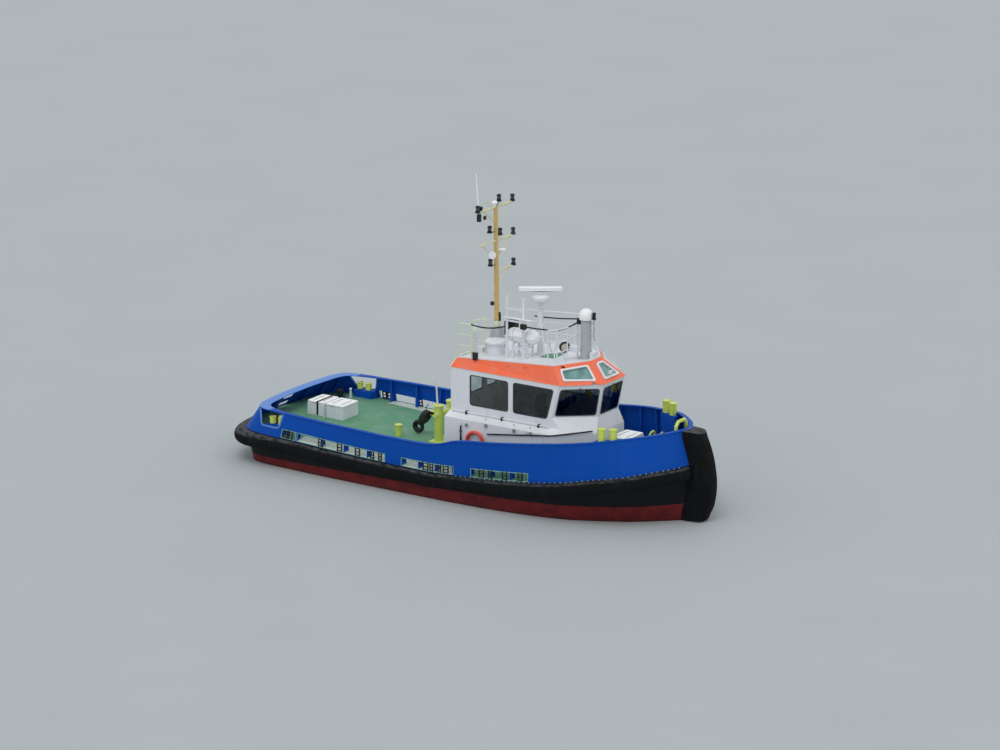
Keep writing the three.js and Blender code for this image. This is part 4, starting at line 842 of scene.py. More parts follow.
@dataclass
class Hull:
    """Hull skin, deck plate, bulwark with its freeing ports, and cap rail."""

    plate: float = 0.02
    cap_inboard: float = 0.125
    cap_stern: float = 0.33
    cap_outboard: float = 0.025
    cap_thick: float = 0.025
    skeg_half: float = 0.09
    skeg: tuple[Pair, ...] = (
        (-7.0, -0.25), (-6.9, -1.78), (-3.4, -1.78), (-1.4, -1.57), (-1.4, -1.2), (-3.2, -0.9),
    )
    freeing_ports: tuple[Pair, ...] = ((-6.0, -5.42), (-5.36, -1.92), (-1.29, 0.68), (1.34, 3.42))
    # Each pair of black bars in a freeing port, painted shade that stands for the shadowed stays in the
    # opening: two upright bars at these places, joined by rungs.
    shade_bar_pairs: tuple[Pair, ...] = (
        (-5.9, -5.76), (-5.7, -5.56), (-4.5, -4.34), (-3.76, -3.6), (-3.06, -2.9), (-2.46, -2.36),
        (-2.16, -2.06), (-0.46, -0.28), (-0.2, -0.1), (0.1, 0.2), (0.3, 0.48), (1.65, 1.81), (2.0, 2.12),
        (2.5, 2.66), (3.07, 3.21),
    )
    port_low: float = 0.03
    port_high: float = 0.29
    quarter: tuple[Pair, ...] = (
        (-6.0, 1.78), (-6.11, 1.37), (-6.16, 1.31), (-6.795, 1.31), (-6.86, 1.37), (-7.04, 1.78),
    )
    stern_openings: tuple[Pair, ...] = ((1.13, 1.28), (1.43, 1.56))
    stays_x: tuple[float, ...] = (
        -5.425, -4.425, -3.525, -2.625, -1.9, -1.3, -0.66, -0.03, 0.62, 1.27, 2.045, 2.765, 3.46, 4.3, 5.05,
    )

    def skin(self) -> Object:
        """Straight surfaces ruled between deck edge, waterline, chine and keel edge, closed across."""
        s = form.places(0.0, 2.0)[:-1]
        levels = [form.at(key, s) for key in ("deck", "water", "chine", "keel")]
        shares = np.linspace(0, 1, 6)[:, None, None]
        top = levels[0] * (1 - shares) + levels[1] * shares
        low = levels[1] * (1 - shares[1:]) + levels[2] * shares[1:]
        rings = np.concatenate([top, low, levels[3][None]])
        count, half = len(s), len(s) // 2
        faces = grid_faces(len(rings), count)
        last = (len(rings) - 1) * count
        across = [(count - i) % count for i in range(half + 1)]
        faces += [[last + i, last + i + 1, last + across[i + 1], last + across[i]] for i in range(half)]
        faces += [[across[i], across[i + 1], i + 1, i] for i in range(half)]
        faces = [f for f in ([k for n, k in enumerate(g) if k not in g[:n]] for g in faces) if len(f) > 2]
        skin = put("hull_skin", [(rings, faces)], shop.hull(), sharp=28, nodes=["hull"])
        fin = plate([(x, 0.0, z) for x, z in self.skeg], 2 * self.skeg_half)
        put("skeg_fin", [fin], skin.data.materials[0], bevel=0.02, nodes=["hull"])
        return skin

    def deck(self) -> Object:
        """The crowned deck: edge height + camber * (edge breadth squared - y squared) / beam squared."""
        s = form.places(0.03, 0.985)
        edge = form.at("deck", s) - form.outward(s) * (self.plate + 0.004)
        y = edge[:, 1:2] * np.linspace(-1, 1, 25)
        x = np.repeat(edge[:, :1], y.shape[1], axis=1)
        rise = form.camber * (edge[:, 1:2] ** 2 - y**2) / form.half_beam**2
        top = np.stack([x, y, edge[:, 2:3] + rise + form.plate_top], axis=-1)
        low = top - vec(0, 0, 0.012)
        loops = np.concatenate([top, low[:, ::-1]], axis=1)
        shape = loops, capped_faces(*loops.shape[:2])
        return put("deck_plating", [shape], Finishes.deck, nodes=["main_deck"])

    def _bulwark_sections(self, s: Points) -> Points:
        """The plate's section at each place: up its outer face and down its inner face."""
        out = form.outward(s)
        foot = form.at("deck", s) - out * 0.002 + vec(0, 0, 0.0014)
        head = form.at("rail", s) - vec(0, 0, self.cap_thick * 0.6)
        share = np.linspace(0, 1, 7)[:, None, None]
        outer = foot * (1 - share) + head * share
        inner = (outer - out * self.plate)[::-1]
        return np.concatenate([outer, inner]).transpose(1, 0, 2)

    def bulwark(self) -> Object:
        """The leaning plate all round, with freeing ports and quarter openings cut through it."""
        s = form.places(0.0, 2.0, 10)[:-1]
        sections = self._bulwark_sections(s)
        faces = grid_faces(len(s), sections.shape[1], wrap_rows=True)
        nodes = ["bulwark_stern", "bulwark_port", "bulwark_starboard", "bulwark_bow"]
        bulwark = put("bulwark_plating", [(sections, faces)], Finishes.bulwark, sharp=40, nodes=nodes)
        cutters = mirrored([self._port_room(aft, fore) for aft, fore in self.freeing_ports])
        cutters += self._stern_rooms()
        outline = rounded_path([(x, 0.0, z) for x, z in self.quarter], 0.05, 4, closed=True)
        for side in (-1, 1):
            cutters.append(plate(outline + vec(0, side * 2.6, 0), 0.8, vec(0, 1, 0)))
        cut(bulwark, cutters)
        two_tone(bulwark, Finishes.bulwark_inside, self._looks_inboard)
        return bulwark

    def _port_room(self, aft: float, fore: float) -> Part:
        """The room of one freeing port, which follows the deck's edge."""
        low = form.on_side(np.linspace(aft, fore, 12), self.port_low)
        high = low + vec(0, 0, self.port_high - self.port_low)
        reach = vec(0, 0.3, 0)
        points = np.stack([low - reach, low + reach, high + reach, high - reach], axis=1)
        return points, capped_faces(*points.shape[:2])

    def _stern_rooms(self) -> list[Part]:
        """The rooms of the openings in the middle of the stern."""
        return [block((-8.4, -0.25, low), (-7.2, 0.25, high)) for low, high in self.stern_openings]

    def waterways(self) -> Object:
        """A strip along the deck's edge inside the after freeing ports, paler than the deck."""
        s = form.places(form.place_at(-5.4), form.place_at(0.75), 10)
        edge, out = form.at("deck", s), form.outward(s)
        corners = []
        for inset, lift in ((0.03, 0.0), (0.5, 0.0), (0.5, 0.004), (0.03, 0.004)):
            place = edge - out * inset
            rise = form.camber * (edge[:, 1] ** 2 - place[:, 1] ** 2) / form.half_beam**2
            place[:, 2] += rise + form.plate_top + lift
            corners.append(place)
        strip = np.stack(corners, axis=1), capped_faces(len(s), 4)
        return put("waterways", mirrored([strip]), Finishes.waterway)

    def port_frames(self) -> list[Object]:
        """A thin green frame round each freeing port, and black bars across the openings that stand for their
        shadowed stays as painted shade.
        """
        frames, bars = [], []
        for aft, fore in self.freeing_ports:
            x = np.linspace(aft, fore, 12)
            low, high = form.on_side(x, self.port_low), form.on_side(x, self.port_high)
            frames.append(hoop(np.concatenate([low, high[::-1]]) + vec(0, 0.008, 0), 0.013, 6))
        # Black bars stand for the shadowed stays in each opening: painted shade.
        for pair in self.shade_bar_pairs:
            lift = np.array([[self.port_low - 0.02], [self.port_high + 0.02]])
            aft, fore = [form.on_side(np.array([x, x]), lift) for x in pair]
            bars += [rod(aft, 0.024, 8), rod(fore, 0.024, 8)]
            for share in (0.15, 0.5, 0.85):
                rung = [bar[0] + (bar[1] - bar[0]) * share for bar in (aft, fore)]
                bars.append(rod(rung, 0.02, 8))
        return [
            put("freeing_port_frames", mirrored(frames), Finishes.port_frame),
            put("freeing_port_shade_bars", mirrored(bars), Finishes.black),
        ]

    def quarter_rims(self) -> Object:
        """A round bar along the lower edges of each quarter opening, laid on the leaning plate."""
        path = rounded_path([(x, 0.0, z) for x, z in self.quarter], 0.05, 4)
        s = np.linspace(2.4 / form.rows, 6 / form.rows, 600)
        foot = form.at("deck", s)
        rise = form.at("rail", s) - foot
        for point in path:
            plate_line = foot + rise * ((point[2] - foot[:, 2:]) / rise[:, 2:])
            point[1] = np.interp(point[0], plate_line[:, 0], plate_line[:, 1])
        return put("quarter_rims", mirrored([rod(path, 0.03, 10)]), Finishes.cap_rail)

    def _looks_inboard(self, normals: Points, centres: Points) -> Points:
        """Which faces look towards the boat's middle line, whose ends lie 5 m fore and aft."""
        nearest = np.column_stack([np.clip(centres[:, 0], -5.0, 5.0), np.zeros((len(centres), 2))])
        away = (centres - nearest) * vec(1, 1, 0)
        return (normals * away).sum(axis=1) < 0

    def cap_rail(self) -> Object:
        """A flat bar with rounded edges carried along the bulwark's top, wider round the stern."""
        s = form.places(0.0, 2.0, 10)[:-1]
        rail, out = form.at("rail", s), form.outward(s)
        inboard = self.cap_inboard + (self.cap_stern - self.cap_inboard) * form.stern_share(s)
        side = np.array([0, 0, 0.008, 0.02, 0.02, 0.008, 0, 0])
        inner = np.array([0, 0, 0, 0, 1, 1, 1, 1])
        offsets = (self.cap_outboard - side) * (1 - inner) + (side - inboard[:, None]) * inner
        drops = np.array([-1, -0.4, -0.08, 0, 0, -0.08, -0.4, -1]) * self.cap_thick
        sections = rail[:, None] + out[:, None] * offsets[..., None] + drops[None, :, None] * vec(0, 0, 1)
        faces = grid_faces(len(s), len(side), wrap_rows=True)
        rail = put("cap_rail", [(sections, faces)], Finishes.bulwark, sharp=60)
        # The rail's up-facing ends round the stern and stem take the paler blue, a painted reflection of the
        # sky.
        two_tone(rail, Finishes.cap_rail, self._sky_lit_rail_ends)
        return rail

    def _sky_lit_rail_ends(self, normals: Points, centres: Points) -> Points:
        """Which faces of the cap rail look up round the stern and the stem, where the paler blue is a painted
        reflection of the sky.
        """
        return ((centres[:, 0] < -6.6) | (centres[:, 0] > 7.55)) & (normals[:, 2] > 0.5)

    def stays(self) -> Object:
        """Triangular brackets that hold the bulwark up inside, each with a flange."""
        rows = form.rows
        port = [form.place_at(x) for x in self.stays_x] + [k / rows for k in (0.7, 1.6, 2.6, 15.5, 16.6)]
        s = np.array(port + [2 - p for p in port])
        out, foot, head = form.outward(s), form.at("deck", s), form.at("rail", s)
        side = np.column_stack([-out[:, 1], out[:, 0], np.zeros(len(s))])
        parts = []
        for k in range(len(s)):
            corners = np.array([
                foot[k] - out[k] * 0.015 + vec(0, 0, 0.03), foot[k] - out[k] * 0.24 + vec(0, 0, 0.05),
                foot[k] - out[k] * 0.24 + vec(0, 0, 0.11), head[k] - out[k] * 0.09 - vec(0, 0, 0.03),
                head[k] - out[k] * 0.015 - vec(0, 0, 0.03),
            ])
            parts.append(plate(corners, 0.014, side[k]))
            edge = np.array([corners[1], corners[2], corners[3]])
            flange = np.concatenate([edge + side[k] * 0.035, (edge - side[k] * 0.035)[::-1]])
            parts.append(plate(flange[[0, 1, 4, 5]], 0.012))
            parts.append(plate(flange[[1, 2, 3, 4]], 0.012))
        return put("bulwark_stays", parts, Finishes.bulwark_inside)

    def build(self) -> list[Object]:
        """Makes the hull's pieces."""
        return [
            self.skin(), self.deck(), self.bulwark(), *self.port_frames(), self.quarter_rims(),
            self.waterways(), self.cap_rail(), self.stays(),
        ]


def cut(piece: Object, cutters: Sequence[Part]) -> None:
    """Cuts closed shapes out of a piece and keeps the result as the piece's mesh."""
    points, faces = joined(cutters)
    mesh = bpy.data.meshes.new("cutter")
    mesh.from_pydata(points.tolist(), [], faces)
    work = bmesh.new()
    work.from_mesh(mesh)
    bmesh.ops.recalc_face_normals(work, faces=work.faces)
    work.to_mesh(mesh)
    work.free()
    tool = bpy.data.objects.new("cutter", mesh)
    bpy.context.scene.collection.objects.link(tool)
    difference = piece.modifiers.new("openings", "BOOLEAN")
    difference.operation = "DIFFERENCE"
    difference.solver = "EXACT"
    difference.object = tool
    depsgraph = bpy.context.evaluated_depsgraph_get()
    made = bpy.data.meshes.new_from_object(piece.evaluated_get(depsgraph))
    piece.modifiers.remove(difference)
    old, piece.data = piece.data, made
    made.name = piece.name
    bpy.data.meshes.remove(old)
    bpy.data.objects.remove(tool)
    made.shade_smooth()
    made.set_sharp_from_angle(angle=math.radians(35))


@dataclass
class Fenders:
    """Rubber D fenders along the deck edge, the block over the stem, and the lugs that hold them."""

    top: float = 0.03
    height: float = 0.43
    side_depth: float = 0.18
    stern_depth: float = 0.4
    # The stem block: its after face, half its width, and (height, x of the front) from the foot up.
    stem_aft: float = 7.5
    stem_half: float = 0.35
    stem_levels: tuple[Pair, ...] = (
        (0.04, 8.12), (0.26, 8.33), (0.7, 8.45), (1.2, 8.5), (1.7, 8.44), (2.2, 8.33), (2.55, 8.18),
        (2.87, 8.04),
    )
    stud_spacing: float = 0.18
    # The strip above the fender in section: (reach outward, drop below the deck's edge).
    strip: tuple[Pair, ...] = ((-0.015, 0.035), (0.1, 0.035), (0.09, 0.0), (-0.015, 0.0))
    rubber: Material = field(default_factory=shop.fender)

    def _depth(self, s: Points) -> Points:
        """Depth outward: the stern's eases into the sides'."""
        return self.side_depth + (self.stern_depth - self.side_depth) * form.stern_share(s)

    def _sweep(self, node: str, first_row: float, last_row: float) -> Object:
        """A D section carried along the deck edge: outward = depth * sin(a)^0.55, down from top to bottom."""
        s = form.places(first_row / form.rows, last_row / form.rows, 10)
        edge, out = form.at("deck", s), form.outward(s)
        a = np.linspace(0.02, np.pi - 0.02, 17)
        reach = np.sin(a) ** 0.55
        fall = 0.5 - 0.5 * np.cos(a) * (1 + 0.12 * np.sin(a) ** 2)
        depth = self._depth(s)[:, None] * reach[None, :]
        drop = self.top + self.height * np.broadcast_to(fall, depth.shape)
        water = form.at("water", s)
        inner = edge + (water - edge) * ((self.top + self.height) / edge[:, 2:3])
        curve = edge[:, None] + out[:, None] * depth[..., None] - drop[..., None] * vec(0, 0, 1)
        head = edge - out * 0.03 - vec(0, 0, self.top)
        foot = inner - out * 0.03
        foot[:, 2] = edge[:, 2] - self.top - self.height
        sections = np.concatenate([head[:, None], curve, foot[:, None]], axis=1)
        shape = sections, capped_faces(*sections.shape[:2])
        return put(f"{node}_rubber", [shape], self.rubber, sharp=45, nodes=[node])

    def bow_block(self) -> Object:
        """An upright block over the stem with a rounded front, dished on top between two horns."""
        levels = np.array(self.stem_levels)
        z = np.linspace(levels[0, 0], levels[-1, 0], 34)
        front = np.interp(z, levels[:, 0], levels[:, 1])
        front = np.convolve(np.pad(front, 3, mode="edge"), np.ones(7) / 7, mode="valid")
        a = np.linspace(-1, 1, 25)
        y = self.stem_half * np.sign(a) * np.abs(a) ** 0.9
        back = 0.55 * (1 - (1 - np.abs(a) ** 3.4) ** 0.5)
        x = front[:, None] - back[None, :]
        face = np.stack([x, np.broadcast_to(y, x.shape), np.broadcast_to(z[:, None], x.shape)], axis=-1)
        wall_p = np.column_stack([np.full((len(z), 2), (self.stem_aft, self.stem_half)), z])[:, None]
        wall_s = wall_p * vec(1, -1, 1)
        sections = np.concatenate([wall_s, face, wall_p], axis=1)
        dish = 0.07 * np.clip(1 - (sections[-1, :, 1] / 0.3) ** 2, 0, 1)
        sections[-3:, :, 2] -= dish[None, :] * np.array([0.3, 0.6, 1.0])[:, None]
        shape = sections, capped_faces(*sections.shape[:2])
        return put(
            "bow_fender_block", [shape], self.rubber, sharp=40, bevel=0.02, nodes=["bow_fender"]
        )

    def lugs(self) -> list[Object]:
        """A dark steel strip above the fender from amidships to the stem, with evenly spaced pale studs."""
        s_fine = np.linspace(form.place_at(0.7), 16.6 / form.rows, 2000)
        run = np.linalg.norm(np.diff(form.at("deck", s_fine), axis=0), axis=1).cumsum()
        s = np.interp(np.arange(0.1, run[-1], self.stud_spacing), run, s_fine[1:])
        feet = form.at("deck", s) + form.outward(s) * 0.05
        studs = [turned([(0.027, -0.01), (0.027, 0.02), (0.015, 0.03)], foot, sides=10) for foot in feet]
        s = s_fine[::40]
        edge, out = form.at("deck", s), form.outward(s)
        sections = np.stack([edge + out * reach - vec(0, 0, drop) for reach, drop in self.strip], axis=1)
        strip = sections, capped_faces(*sections.shape[:2])
        return [
            put("fender_strip", mirrored([strip]), Finishes.black),
            put("fender_studs", mirrored(studs), Finishes.lug),
        ]

    def build(self) -> list[Object]:
        """Makes the fenders."""
        port = self._sweep("fender_port", 5, 16.9)
        starboard = self._sweep("fender_starboard", 2 * form.rows - 16.9, 2 * form.rows - 5)
        stern = self._sweep("fender_stern", -5, 5)
        return [port, starboard, stern, self.bow_block(), *self.lugs()]


def front_faces(low: Points, high: Points) -> list[Points]:
    """The corners of the three front faces between a lower and an upper outline of six corners."""
    return [np.array([low[i + 1], low[i], high[i], high[i + 1]]) for i in (1, 2, 3)]


def ring_plate(outer: Points, inner: Points, thickness: float) -> Part:
    """A flat frame between two outlines with the same number of points, thick on both sides of its plane."""
    lift = unit(np.cross(outer, np.roll(outer, -1, axis=0)).sum(axis=0)) * thickness / 2
    loops = np.stack([outer - lift, outer + lift, inner + lift, inner - lift])
    return loops, grid_faces(4, len(outer), wrap_rows=True)


def mirrored(parts: Sequence[Part]) -> list[Part]:
    """The same parts with their likenesses on the other side of the boat."""
    return list(parts) + [(points * vec(1, -1, 1), faces) for points, faces in parts]


def puffed_box(centre: Sequence[float], size: Sequence[float], roundness: float = 0.32) -> Part:
    """A cushion's form: half size * signed powers of cosines and sines of two angles, crowned in the middle.

    Args:
        centre: the middle of the cushion.
        size: its length, breadth and thickness.
        roundness: the power, where 0 is a box and 1 an ellipsoid.

    Returns:
        The points and faces.
    """
    u = np.linspace(-np.pi, np.pi, 56, endpoint=False)[None, :]
    v = np.linspace(-np.pi / 2, np.pi / 2, 29)[:, None]
    waves = [np.cos(u), np.sin(u), np.cos(v), np.sin(v)]
    cos_u, sin_u, cos_v, sin_v = [np.sign(w) * np.abs(w) ** roundness for w in waves]
    x, y = cos_v * cos_u, cos_v * sin_u
    z = sin_v * (1 - 0.22 * np.maximum(np.abs(x), np.abs(y)) ** 2)
    points = vec(*centre) + np.stack([x, y, z], axis=-1) * vec(*size) / 2
    return points, grid_faces(len(v), u.shape[1])


def two_tone(piece: Object, other: Finish, chosen: Callable[[Points, Points], Points]) -> None:
    """Gives some faces of a piece a second finish.

    Args:
        piece: the piece.
        other: the second finish.
        chosen: says from the faces' normals and centres which faces take it.
    """
    piece.data.materials.append(shop.paint(other))
    count = len(piece.data.polygons)
    normals, centres, numbers = np.zeros(count * 3), np.zeros(count * 3), np.zeros(count, dtype=np.int32)
    piece.data.polygons.foreach_get("normal", normals)
    piece.data.polygons.foreach_get("center", centres)
    piece.data.polygons.foreach_get("material_index", numbers)
    picked = chosen(normals.reshape(-1, 3), centres.reshape(-1, 3))
    numbers[picked] = len(piece.data.materials) - 1
    piece.data.polygons.foreach_set("material_index", numbers)


def dress(table: Sequence[tuple[str, Finish, float]]) -> list[Object]:
    """Refines the nodes of a table of node, finish and edge rounding in metres."""
    return [refine(node, finish, bevel) for node, finish, bevel in table]


@dataclass
class House:
    """Deckhouse and wheelhouse: walls, windows with their gaskets, door, helm and outside fittings."""

    aft: float = -0.29
    half: float = 1.5
    head: float = 4.0
    apron: float = 2.93
    sill: float = 2.87
    window_head: float = 3.83
    # Each side window: x of its aft edge, and of its fore edge at the sill and at the head.
    side_windows: tuple[Place, ...] = ((0.44, 1.85, 1.85), (2.06, 3.29, 3.54))
    # Corners (y, z) of the windows in the aft wall and in the door.
    aft_window: tuple[Pair, ...] = ((-0.4, 2.9), (0.25, 2.9), (0.25, 3.8), (-0.4, 3.8))
    door_window: tuple[Pair, ...] = ((0.58, 2.88), (1.07, 2.88), (1.07, 3.6), (0.58, 3.6))
    door_face: float = -0.33
    front_margins: tuple[float, ...] = (0.06, 0.09, 0.15, 0.09)
    lamp_places: tuple[Place, ...] = (
        (1.127, -1.657, 2.515), (2.195, -1.657, 2.515), (2.8, -1.657, 2.515),
        (0.32, -1.81, 2.28), (2.743, -1.81, 2.4),
    )
    lamp_aim: Place = (0.0, -0.45, 0.9)
    lamp_body: Profile = ((0.035, -0.02), (0.035, 0.02), (0.03, 0.025))
    lamp_lens: Profile = ((0.028, 0.02), (0.026, 0.05), (0.015, 0.06))
    box_places: tuple[Pair, ...] = ((0.511, 2.29), (1.241, 2.385), (2.29, 2.39), (2.895, 2.39))
    chair_post: Profile = (
        (0.3, 1.801), (0.29, 1.82), (0.08, 1.835), (0.06, 1.86), (0.06, 2.33), (0.2, 2.345),
    )
    # Each cushion of the chair: its part, its middle and its size.
    cushions: tuple[tuple[str, Place, Place], ...] = (
        ("seat", (2.3, 0.0, 2.415), (0.5, 0.5, 0.11)),
        ("back", (2.11, 0.0, 2.82), (0.12, 0.48, 0.68)),
        ("arm_port", (2.27, 0.27, 2.625), (0.36, 0.06, 0.05)),
        ("arm_starboard", (2.27, -0.27, 2.625), (0.36, 0.06, 0.05)),
    )
    ledge: tuple[Place, ...] = (
        (-0.22, -1.53, 2.56), (-0.2, -1.56, 2.63), (3.3, -1.56, 2.63), (3.42, -1.52, 2.6),
    )
    rub_strip: tuple[Place, ...] = (
        (1.29, -1.8, 2.12), (1.31, -1.825, 2.125), (3.69, -1.83, 2.46), (4.56, -0.95, 2.53),
        (4.6, -0.9, 2.53),
    )
    # How far a gasket laps the wall outside a window's edge, and the glass inside it.
    lip: float = 0.018
    cover: float = 0.014

    def ring(self, z: float) -> Points:
        """Corners of the wheelhouse's plan at a height, from port aft round the front to starboard aft."""
        rise = z - self.head
        corner, front, front_half = 3.74 + 0.243 * rise, 4.81 + 0.193 * rise, 0.63 + 0.04 * rise
        return np.array([
            (self.aft, self.half, z), (corner, self.half, z), (front, front_half, z),
            (front, -front_half, z), (corner, -self.half, z), (self.aft, -self.half, z),
        ])

    def gasket(self, corners: Points, margins: Sequence[float], radius: float) -> Part:
        """A rubber frame that laps the glass and the wall along a window's rounded edge."""
        m = np.array(margins)
        outer = pane_outline(corners, m - self.lip, radius + self.lip)
        inner = pane_outline(corners, m + self.cover, radius - self.cover)
        return ring_plate(outer, inner, 0.016)

    def gaskets(self) -> Object:
        """The gaskets of all fixed windows."""
        parts = []
        for aft, low, high in self.side_windows:
            heights = (self.sill, self.sill, self.window_head, self.window_head)
            corners = np.array([(x, -self.half, z) for x, z in zip((aft, low, high, aft), heights)])
            parts += mirrored([self.gasket(corners, [0.0] * 4, 0.09)])
        for corners in front_faces(self.ring(self.apron), self.ring(self.head)):
            parts.append(self.gasket(corners, self.front_margins, 0.09))
        corners = np.array([(self.aft, y, z) for y, z in self.aft_window])
        parts.append(self.gasket(corners, [0.0] * 4, 0.08))
        return put("window_gaskets", parts, Finishes.seal, bevel=0.004)

    def wipers(self) -> Object:
        """A wiper at the head of each front window: motor box, arm and blade."""
        parts = []
        for corners in front_faces(self.ring(self.apron), self.ring(self.head)):
            down = (corners[0] + corners[1]) / 2 - (corners[2] + corners[3]) / 2
            across = unit(corners[3] - corners[2])
            out = unit(np.cross(across, -down))
            pivot = (corners[2] + corners[3]) / 2 + down * 0.12 + out * 0.035
            tip = pivot + down * 0.5 + across * 0.22
            parts.append(rod([pivot, tip], 0.009, 6))
            parts.append(rod([tip - down * 0.2 - out * 0.012, tip + down * 0.2 - out * 0.012], 0.011, 6))
            parts.append(rod([pivot - out * 0.04, pivot + out * 0.02], 0.03, 12))
        return put("window_wipers", parts, Finishes.black)

    def rails(self) -> list[Object]:
        """A grab rail on brackets along each shoulder and a black rubbing strip along each side."""
        ledge = rounded_path(self.ledge, 0.05)
        rails = put("house_grab_rails", mirrored([rod(ledge, 0.024, 10)]), Finishes.white)
        clamps = [block((x - 0.03, -1.6, 2.555), (x + 0.03, -1.49, 2.665)) for x in (0.34, 1.67, 3.04)]
        holders = put("grab_rail_brackets", mirrored(clamps), Finishes.black, bevel=0.01)
        strip = rounded_path(self.rub_strip, 0.12)
        strips = put("house_rub_strips", mirrored([rod(strip, 0.022, 10)]), Finishes.rubber)
        return [rails, holders, strips]

    def outside_lamps(self) -> list[Object]:
        """Small lamps on the deckhouse shoulders, and junction boxes below them."""
        bodies, lenses, boxes = [], [], []
        for place in self.lamp_places:
            bodies.append(turned(self.lamp_body, place, self.lamp_aim, 16))
            lenses.append(turned(self.lamp_lens, place, self.lamp_aim, 16))
        for x, z in self.box_places:
            boxes.append(block((x - 0.05, -1.84, z - 0.055), (x + 0.05, -1.79, z + 0.055)))
        lens = shop.lamp("lamp_lens_clear", srgb(205, 208, 200))
        return [
            put("bulkhead_lamps", mirrored(bodies), Finishes.white, bevel=0.004),
            put("bulkhead_lamp_lenses", mirrored(lenses), lens),
            put("junction_boxes", mirrored(boxes), Finishes.grey, bevel=0.008),
        ]

    def side_fittings(self) -> list[Object]:
        """A hose standing in clips, and the lifebuoy's bracket."""
        hose = rounded_path([(0.3, -1.83, 1.72), (0.3, -1.84, 2.2), (0.3, -1.8, 2.24)], 0.04)
        clips = [block((0.27, -1.86, z), (0.33, -1.79, z + 0.03)) for z in (1.8, 2.05)]
        bracket = [block((x, -1.83, 1.56), (x + 0.04, -1.79, 1.62)) for x in (0.66, 1.02)]
        bracket.append(block((0.62, -1.96, 1.5), (1.1, -1.79, 1.53)))
        return [
            put("standing_hose", [rod(hose, 0.024, 10), *clips], Finishes.black),
            put("lifebuoy_bracket", bracket, Finishes.galvanised, bevel=0.006),
        ]

    def door(self) -> list[Object]:
        """The door leaf, its window with a gasket, and a kick plate."""
        leaf = refine("wheelhouse_door", Finishes.white, 0.006)
        glass = refine("door_glass", shop.glass("door_window", srgb(200, 212, 212)))
        corners = np.array([(self.door_face, y, z) for y, z in self.door_window])
        seal = put("door_gasket", [self.gasket(corners, [0.0] * 4, 0.06)], Finishes.rubber, body="door")
        kick = block((self.door_face - 0.003, 0.52, 1.93), (self.door_face + 0.002, 1.13, 2.2))
        plating = put("door_kick_plate", [kick], Finishes.galvanised, body="door", bevel=0.002)
        return [leaf, glass, seal, plating]

    def helm(self) -> list[Object]:
        """Console with screens, levers and wheel, and a chair with padded seat, back and arm rests."""
        console = refine("helm_console", Finishes.grey, 0.015)
        screens = [block((3.22, y - 0.2, 2.9), (3.27, y + 0.2, 3.2)) for y in (-0.6, -0.1, 0.45)]
        levers = [rod([(3.08, y, 2.84), (3.04, y, 3.0)], 0.012, 8) for y in (-0.32, 0.22, 0.3)]
        rim = np.linspace(0, 2 * np.pi, 32, endpoint=False)
        middle = vec(2.98, 0, 2.62)
        circle = middle + np.stack([0.04 * np.cos(rim), 0.19 * np.sin(rim), 0.19 * np.cos(rim)], axis=-1)
        hub = rod([middle - vec(0.03, 0, 0), middle + vec(0.12, 0, 0.04)], 0.03, 12)
        spokes = [rod([middle, circle[k]], 0.01, 6) for k in (0, 11, 21)]
        parts = [*screens, *levers, hoop(circle, 0.015, 10), hub, *spokes]
        gear = put("helm_controls", parts, Finishes.black, bevel=0.004)
        stand = put("helm_chair_stand", [
            turned(self.chair_post, (2.3, 0, 0)),
            block((2.08, -0.25, 2.345), (2.5, 0.25, 2.36)),
            *(block((2.1, y, 2.36), (2.15, y + 0.035, 2.6)) for y in (-0.29, 0.255)),
            block((2.02, -0.2, 2.34), (2.05, 0.2, 3.0)),
        ], Finishes.galvanised, bevel=0.005, nodes=["helm_chair"])
        pieces = [console, gear, stand]
        for part, centre, size in self.cushions:
            name, shape = f"helm_chair_{part}", puffed_box(centre, size)
            cushion = put(name, [shape], Finishes.upholstery, sharp=80, nodes=["helm_chair"])
            pieces.append(cushion)
        return pieces

    def build(self) -> list[Object]:
        """Makes the house."""
        white = Finishes.white
        walls = [refine("deckhouse", white, 0.018)]
        walls += [refine(f"wall_{side}", white, 0.004) for side in ("port", "starboard", "front", "aft")]
        tint = shop.glass("wheelhouse_window", srgb(228, 236, 236), srgb(140, 154, 160))
        panes = [refine(f"glass_{side}", tint) for side in ("port", "starboard", "front", "aft")]
        buoy = refine("lifebuoy", Finishes.buoy, sharp=80)
        return [
            *walls, *panes, buoy, self.gaskets(), self.wipers(), *self.rails(), *self.outside_lamps(),
            *self.side_fittings(), *self.door(), *self.helm(),
        ]


